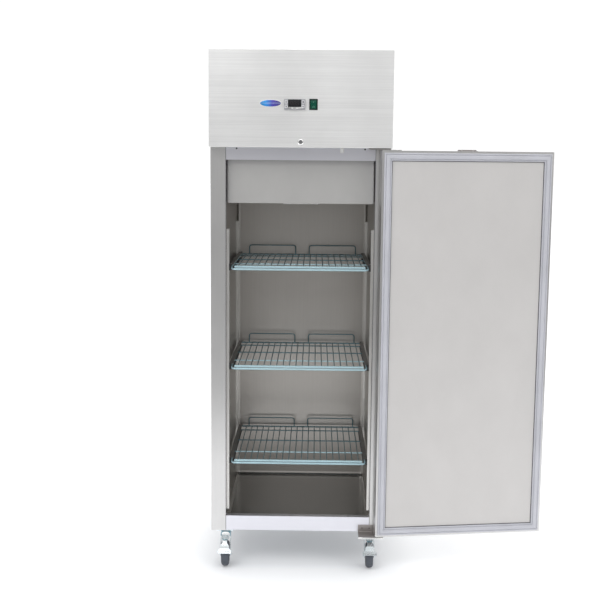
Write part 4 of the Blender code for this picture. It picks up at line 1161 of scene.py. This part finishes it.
def machine_parts():
    """The electrical box, tray, pipes, drier and wiring on the deck, and the inlet's blank."""
    d = DECK_Z
    bm = fresh()
    block(bm, (-0.3, 0.085, d), (-0.175, 0.15, d + 0.085), 0.004, 3)
    block(bm, (-0.303, 0.082, d + 0.06), (-0.172, 0.153, d + 0.088), 0.004, 3)
    make("electrical_box", bm, "control")
    screws(
        "electrical_box_screws", "cabinet",
        [(x, y, d + 0.088) for x in (-0.293, -0.182) for y in (0.092, 0.143)], "Z", 1,
    )
    bm = fresh()
    left, right, front, back, wall, brim = 0.045, 0.305, 0.42, 0.64, 0.002, 0.004
    block(bm, (left, front, d), (right, back, d + wall), 0.0008)
    for low, high in (
        ((left, front), (right, front + wall)), ((left, back - wall), (right, back)),
        ((left, front), (left + wall, back)), ((right - wall, front), (right, back)),
    ):
        block(bm, (*low, d), (*high, d + 0.036), 0.0008)
    lip = [
        (left - brim, front - brim), (right + brim, front - brim),
        (right + brim, back + brim), (left - brim, back + brim),
    ]
    tube(bm, eased([(x, y, d + 0.036) for x, y in lip + lip[:1]], 0.008, 4)[:-1], 0.0022, 8, True)
    make("evaporation_tray", bm, "black")

    bm = fresh()
    x, y = -0.165, 0.42
    discharge = [
        (x + 0.0725, y - 0.0508, d + 0.118), (x + 0.0725, y - 0.0508, d + 0.15),
        (x + 0.1, y - 0.12, d + 0.15),
        (-0.01, 0.3, d + 0.15), (-0.01, 0.2, d + 0.2), (0.000, 0.166, d + 0.23), (0.027, 0.166, d + 0.23),
    ]
    tube(bm, eased(discharge, 0.018, 6), 0.0032, 10)
    loops = []
    for k in range(5):
        across = [(x_end, 0.445 + 0.04 * k, d + 0.012) for x_end in (0.075, 0.275)]
        loops += across if k % 2 == 0 else across[::-1]
    tube(
        bm,
        eased(
            [(-0.03, 0.43, d + 0.05), (0.02, 0.432, d + 0.05), (0.06, 0.445, d + 0.046)] + loops + [
                (0.3, 0.605, d + 0.05), (0.325, 0.6, d + 0.05), (0.325, 0.3, d + 0.05),
                (0.325, 0.142, d + 0.018), (0.314, 0.142, d + 0.018),
            ],
            0.016, 5,
        ),
        0.0032, 10,
    )
    make("discharge_line", bm, "copper")
    bm = fresh()
    lathe(
        bm,
        [
            (0.003, -0.062), (0.006, -0.052), (0.01, -0.042), (0.0105, -0.036), (0.0105, 0.036),
            (0.01, 0.042), (0.006, 0.052), (0.003, 0.062),
        ],
        (-0.075, 0.56, d + 0.06), "X", 28,
    )
    make("filter_drier", bm, "copper")
    bm = fresh()
    coil = [(-0.137, 0.56, d + 0.06)]
    for k in range(0, 61):
        a = 2 * math.pi * k / 20
        coil.append((-0.19 + 0.03 * math.cos(a), 0.595 + 0.03 * math.sin(a), d + 0.055 + 0.0028 * k / 20))
    coil += [(-0.235, 0.618, d + 0.05), (-0.262, 0.622, d + 0.03), (-0.262, 0.622, d - 0.006)]
    tube(bm, eased(coil, 0.004, 2), 0.0011, 6)
    line = [
        (-0.013, 0.56, d + 0.06), (0.01, 0.56, d + 0.06), (0.02, 0.52, d + 0.06), (0.02, 0.405, d + 0.06),
        (0.02, 0.3, d + 0.03), (0.015, 0.166, d + 0.018), (0.027, 0.166, d + 0.018),
    ]
    tube(bm, eased(line, 0.014, 5), 0.0026, 8)
    make("liquid_line", bm, "copper")
    bm = fresh()
    suction = [
        (-0.255, 0.618, d - 0.006), (-0.255, 0.618, d + 0.06), (-0.262, 0.56, d + 0.14),
        (-0.262, 0.49, d + 0.15), (x - 0.0725, y + 0.0508, d + 0.15), (x - 0.0725, y + 0.0508, d + 0.119),
    ]
    tube(bm, eased(suction, 0.02, 6), 0.0085, 14)
    make("suction_line", bm, "sleeve")
    bm = fresh()
    wires = [
        [
            (-0.2, 0.15, d + 0.04), (-0.2, 0.23, d + 0.006), (-0.12, 0.33, d + 0.006),
            (-0.06, 0.385, d + 0.03), (-0.052, 0.398, d + 0.06),
        ],
        [
            (-0.18, 0.11, d + 0.03), (-0.08, 0.11, d + 0.006), (0.000, 0.09, d + 0.01),
            (0.01, 0.23, d + 0.006), (0.11, 0.262, d + 0.02), (0.135, 0.262, d + 0.11),
        ],
        [
            (-0.24, 0.085, d + 0.06), (-0.24, 0.045, d + 0.09), (-0.06, 0.03, 1.806), (-0.04, 0.03, 1.806),
            (-0.035, 0.048, 1.806),
        ],
        [
            (-0.21, 0.085, d + 0.05), (-0.21, 0.04, d + 0.06), (0.000, 0.024, 1.77), (0.046, 0.03, 1.79),
            (0.046, 0.028, 1.8),
        ],
    ]
    for path in wires:
        tube(bm, eased(path, 0.03, 6), 0.003, 8)
    make("wiring", bm, "black")
    bm = fresh()
    gland = [(0.0, 0.0), (0.015, 0.0), (0.015, -0.003), (0.0115, -0.0034), (0.011, -0.012), (0.0, -0.012)]
    lathe(bm, gland, (-0.27, 0.7088, 1.735), "Y", 28)
    make("inlet_blank", bm, "black")


def evaporator_guard():
    """Wire rings and four spokes under the evaporator fan."""
    bm = fresh()

    def spot(radius, turn, z):
        return (radius * math.cos(turn), 0.215 + radius * math.sin(turn), z)

    for ring in (0.018, 0.032, 0.046, 0.06, 0.074, 0.09):
        tube(bm, [spot(ring, 2 * math.pi * k / 40, 1.433) for k in range(40)], 0.0013, 6, True)
    for k in range(4):
        turn = math.pi / 4 + math.pi / 2 * k
        tube(bm, [spot(0.018, turn, 1.4314), spot(0.093, turn, 1.4314)], 0.0017, 6)
    make("evaporator_fan_guard", bm, "white")


# ---------------------------------------------------------------- casters


def fork_leg(bm, x_low, x_high, y, z_top, axle_y, half_top):
    """One leg of a caster's fork."""
    outline = [(y + half_top, z_top), (y + half_top - 0.002, z_top - 0.01)]
    for i in range(17):
        a = math.radians(20 - 220 * i / 16)
        outline.append((axle_y + 0.013 * math.cos(a), WHEEL_R + 0.013 * math.sin(a)))
    outline += [(y - half_top + 0.001, z_top - 0.012), (y - half_top, z_top)]
    before = set(bm.edges)
    extrude(bm, outline, "X", x_low, x_high)
    edges = [e for e in bm.edges if e not in before and flat_in_x(e)]
    soften(bm, edges, 0.0006, 2)


def axle(bm, x, y):
    """A wheel's axle with its nuts."""
    lathe(bm, [(0.004, -0.021), (0.004, 0.021)], (x, y, WHEEL_R), "X", 20)
    hexagon(bm, (x, y, WHEEL_R), "X", 0.0125, 0.0199, 0.0258)
    hexagon(bm, (x, y, WHEEL_R), "X", 0.0125, -0.0245, -0.0199)


def wheel(tag, body, node, x, y):
    """A tyre and its core."""
    centre = (x, y, WHEEL_R)
    bm = fresh()
    side = [
        (0.0395, 0.0144), (0.043, 0.0144), (0.0455, 0.013), (0.0476, 0.0104), (0.0491, 0.0066),
        (0.05, 0.0018), (0.0498, 0.0004),
    ]
    tread = [(r, -w) for r, w in side] + side[::-1] + [(0.0385, 0.01), (0.0385, -0.01)]
    lathe(bm, tread, centre, "X", 72, True)
    make(f"caster_tyre_{tag}", bm, "tyre", body, [node], 40)
    bm = fresh()
    core = [
        (0.0046, -0.016), (0.0115, -0.016), (0.0125, -0.0148), (0.013, -0.009), (0.016, -0.0078),
        (0.033, -0.0085), (0.0352, -0.0138),
        (0.0392, -0.0142), (0.0392, 0.0142), (0.0352, 0.0138), (0.033, 0.0085), (0.016, 0.0078),
        (0.013, 0.009), (0.0125, 0.0148), (0.0115, 0.016), (0.0046, 0.016),
    ]
    lathe(bm, core, centre, "X", 48, True)
    for k in range(6):
        a = math.pi / 3 * k
        for side in (-1, 1):
            before = list(bm.verts)
            xs = sorted((side * 0.0076, side * 0.012))
            block(bm, (xs[0], -0.0012, 0.0135), (xs[1], 0.0012, 0.0345), 0.0005, 1)
            fresh_verts = [v for v in bm.verts if v not in set(before)]
            bmesh.ops.transform(
                bm, matrix=Matrix.Translation(centre) @ Matrix.Rotation(a, 4, "X"), verts=fresh_verts,
            )
    make(f"caster_core_{tag}", bm, "core", body)


def plate_and_bolts(bm, x, y):
    """A caster's top plate with its four bolts."""
    block(
        bm, (x - 0.035, y - 0.0425, 0.1467), (x + 0.035, y + 0.0425, 0.1497), 0.007, 4, lambda a,
        b: abs(a.z - b.z) > 1e-4,
    )
    for i in (-1, 1):
        for j in (-1, 1):
            hexagon(bm, (x + i * 0.027, y + j * 0.0345, 0.0), "Z", 0.01, 0.1425, 0.147)
            lathe(bm, [(0.0072, 0.1462), (0.0072, 0.147)], (x + i * 0.027, y + j * 0.0345, 0.0), "Z", 20)


def casters():
    """The four casters: plates, forks, brake pedals and wheels."""
    for side, sign in (("left", -1), ("right", 1)):
        x = sign * CASTER_X
        y, axle_y = STEM_Y, STEM_Y - TRAIL
        bm = fresh()
        plate_and_bolts(bm, x, y)
        plate_faces = len(bm.faces)
        race = [
            (0.015, 0.147), (0.0262, 0.147), (0.0262, 0.1452), (0.025, 0.1432), (0.0246, 0.1408),
            (0.0232, 0.1385), (0.015, 0.1385),
        ]
        lathe(bm, race, (x, y, 0.0), "Z", 48, True)
        # The bearing race takes the painted-shade copy of the zinc.
        recoloured(bm, plate_faces, 1)
        make(f"caster_top_{side}", bm, "zinc zinc_shade", stands_for=[f"caster_plate_front_{side}"])

        bm = fresh()
        head = [
            (0.0, 0.133), (0.0185, 0.133), (0.0238, 0.1345), (0.0255, 0.1358), (0.0255, 0.1372),
            (0.0, 0.1372),
        ]
        lathe(bm, head, (x, y, 0.0), "Z", 48)
        arch = []
        for angle in range(0, 181, 12):
            a = math.radians(angle)
            arch.append(
                (
                    0.0197 * math.copysign(abs(math.cos(a)) ** 0.55, math.cos(a)),
                    0.118 + 0.0185 * math.sin(a) ** 0.75,
                )
            )
        inner = [(u * 0.885, v - 0.0023) for u, v in arch]
        extrude(bm, [(x + u, v) for u, v in arch + inner[::-1]], "Y", y - 0.0215, y + 0.0215)
        # The swivel head and the arch take the painted-shade copy of the zinc.
        recoloured(bm, 0, 1)
        shell = len(bm.faces)
        filled = [(u * 0.88, v - 0.0024) for u, v in arch if v > 0.124]
        extrude(bm, [(x + u, v) for u, v in filled], "Y", y - 0.0235, y + 0.021)
        recoloured(bm, shell, 2)
        legs = len(bm.faces)
        fork_leg(bm, x + 0.0176, x + 0.0197, y, 0.122, axle_y, 0.0215)
        fork_leg(bm, x - 0.0197, x - 0.0176, y, 0.122, axle_y, 0.0215)
        axle(bm, x, axle_y)
        recoloured(bm, legs, 0)
        make(
            f"caster_fork_{side}", bm, "zinc zinc_shade bright", f"fork_{side}",
            [f"caster_fork_front_{side}"],
        )

        bm = fresh()
        stations = [
            (-0.006, 0.1138, 0.014), (-0.03, 0.1136, 0.014), (-0.048, 0.1128, 0.0125),
            (-0.058, 0.1112, 0.01), (-0.066, 0.106, 0.0092),
            (-0.0705, 0.1012, 0.0105), (-0.0735, 0.0972, 0.016), (-0.0757, 0.093, 0.0176),
            (-0.0775, 0.088, 0.018),
            (-0.0785, 0.0845, 0.0182), (-0.08, 0.0825, 0.0225), (-0.0835, 0.0788, 0.0272),
            (-0.0885, 0.0735, 0.028), (-0.0925, 0.0705, 0.0262),
        ]
        ribbon(bm, [(y + a, b, c) for a, b, c in stations], 0.0022, x)
        lathe(bm, [(0.0022, -0.0172), (0.0022, 0.0172)], (x, y - 0.014, 0.115), "X", 16)
        make(f"brake_lever_{side}", bm, "zinc", f"pedal_{side}", [f"brake_pedal_{side}"])
        wheel(f"front_{side}", f"wheel_front_{side}", f"caster_wheel_front_{side}", x, axle_y)

        bm = fresh()
        ry = REAR_AXLE_Y
        plate_and_bolts(bm, x, ry)
        arch = [
            (0.0197, 0.13), (0.0197, 0.14), (0.018, 0.145), (0.015, 0.1469), (-0.015, 0.1469),
            (-0.018, 0.145), (-0.0197, 0.14), (-0.0197, 0.13),
        ]
        inner = [
            (0.0175, 0.13), (0.0175, 0.1392), (0.016, 0.1432), (0.014, 0.1445), (-0.014, 0.1445),
            (-0.016, 0.1432), (-0.0175, 0.1392), (-0.0175, 0.13),
        ]
        extrude(bm, [(x + u, v) for u, v in arch + inner[::-1]], "Y", ry - 0.028, ry + 0.028)
        fork_leg(bm, x + 0.0176, x + 0.0197, ry, 0.138, ry, 0.028)
        fork_leg(bm, x - 0.0197, x - 0.0176, ry, 0.138, ry, 0.028)
        axle(bm, x, ry)
        make(f"caster_rear_{side}", bm, "zinc", stands_for=[f"caster_bracket_rear_{side}"])
        wheel(f"rear_{side}", f"wheel_rear_{side}", f"caster_wheel_rear_{side}", x, ry)


# ---------------------------------------------------------------- stage


def grey(level):
    return (level, level, level)


def floor():
    """The studio floor, which gives off more light of its own away from the object."""
    mesh = bpy.data.meshes.new("floor")
    side, front, back = 60.0, -2.45, 60.0
    mesh.from_pydata(
        [(-side, front, 0), (side, front, 0), (side, back, 0), (-side, back, 0)], [], [(0, 1, 2, 3)],
    )
    item = bpy.data.objects.new("floor", mesh)
    bpy.context.scene.collection.objects.link(item)
    look = Look("floor_paint")
    drift = look.ranged(look.noise((0.8, 0.8, 0.8), 3.0), 0.0, 1.0)
    vectors = "ShaderNodeVectorMath"
    away = look.maths("SUBTRACT", look.coords, place(0.0, 0.36, 0.0), kind=vectors)
    flat = look.maths("ABSOLUTE", away, kind=vectors)
    x, y, _ = look.split(look.maths("SUBTRACT", flat, (0.34, 0.32, 0.0), kind=vectors))
    most = look.maths("MAXIMUM", x, y)
    near = look.ranged(most, 0.1, 0.27, -0.06, 0.14)
    far = look.ranged(most, 0.0, 0.23, 0.3, 1.5)
    mesh.materials.append(look.shade(
        Base_Color=look.mixed(drift, (0.83, 0.84, 0.86), (0.85, 0.86, 0.875)), Roughness=0.9,
        Emission_Strength=look.summed((near, 1.0), (far, 1.0)), Emission_Color=grey(1.0),
    ))


def studio_world():
    """Soft light that falls off below the horizon, and a plain white backdrop for the camera."""
    world = bpy.data.worlds.new("studio")
    bpy.context.scene.world = world
    world.use_nodes = True
    world.node_tree.nodes.clear()
    tree = Tree(world.node_tree)
    out = tree.node("ShaderNodeOutputWorld")
    z = tree.split(tree.node("ShaderNodeTexCoord").outputs["Generated"])["Z"]
    levels = ((0.0, 0.3), (1.0, 1.0), (0.47, 0.46), (0.5, 0.54), (0.54, 0.6), (0.66, 1.0))
    sky = tree.ramp(tree.ranged(z, 0.0, 1.0, -1.0, 1.0), *((at, grey(level)) for at, level in levels))
    light = tree.node("ShaderNodeBackground", {"Color": sky, "Strength": 0.8})
    seen = tree.node("ShaderNodeBackground", {"Color": grey(1.0), "Strength": 1.05})
    ray = tree.node("ShaderNodeLightPath").outputs["Is Camera Ray"]
    mix = tree.node("ShaderNodeMixShader", {0: ray, 1: light.outputs[0], 2: seen.outputs[0]})
    tree.put(mix.outputs[0], out.inputs["Surface"])


def lamps():
    for name, at, target, size, power in (
        ("key_light", (-2.4, -3.4, 4.2), (-0.2, 0.0, 1.0), (2.6, 2.6), 66),
        ("fill_light", (2.8, -3.4, 3.6), (0.1, 0.0, 0.9), (2.4, 2.4), 36),
        ("top_light", (0.0, 0.4, 4.6), (0.0, 0.0, 0.0), (3.0, 3.0), 50),
        ("back_light", (0.0, 4.0, 2.8), (0.0, 0.2, 1.2), (3.0, 2.0), 40),
    ):
        data = bpy.data.lights.new(name, "AREA")
        data.shape = "RECTANGLE"
        data.size, data.size_y = size
        data.energy = power
        lamp = bpy.data.objects.new(name, data)
        lamp.location = at
        lamp.rotation_euler = (Vector(target) - Vector(at)).to_track_quat("-Z", "Y").to_euler()
        bpy.context.scene.collection.objects.link(lamp)


def camera():
    """The camera, as fitted to the photo."""
    data = bpy.data.cameras.new("camera")
    data.sensor_width = 36.0
    data.lens = 1058.2 / 600 * 36.0
    data.clip_end = 200.0
    item = bpy.data.objects.new("camera", data)
    bpy.context.scene.collection.objects.link(item)
    yaw, pitch, roll = 0.0138, 0.1339, 0.0091
    turn = Matrix.Rotation(yaw, 4, "Z") @ Matrix.Rotation(math.pi / 2 - pitch, 4, "X") @ Matrix.Rotation(
        roll, 4, "Z",
    )
    item.matrix_world = Matrix.Translation(place(0.0575, -3.9486, 1.6087)) @ turn
    bpy.context.scene.camera = item


all_screws()
badge()
controls()
for shelf_level, shelf_z in SHELF_LEVELS.items():
    shelf(shelf_level, shelf_z)
rail_ends()
door_parts()
hinge_foot()
back_sheet()
shade_strips_and_trims()
compressor()
condenser()
fan_wheel(
    "condenser_fan_wheel", "condenser_fan", "condenser_fan_blade", "Y", CONDENSER_FAN, 0.094, 0.023,
    5, -0.011, 0.01,
)
fan_wheel(
    "evaporator_fan_wheel", "evaporator_fan", "evaporator_fan_blade", "Z", EVAPORATOR_FAN, 0.079, 0.021,
    5, -0.011, 0.01,
)
machine_parts()
evaporator_guard()
casters()
floor()
studio_world()
lamps()
camera()
bpy.context.scene.view_settings.view_transform = "Standard"
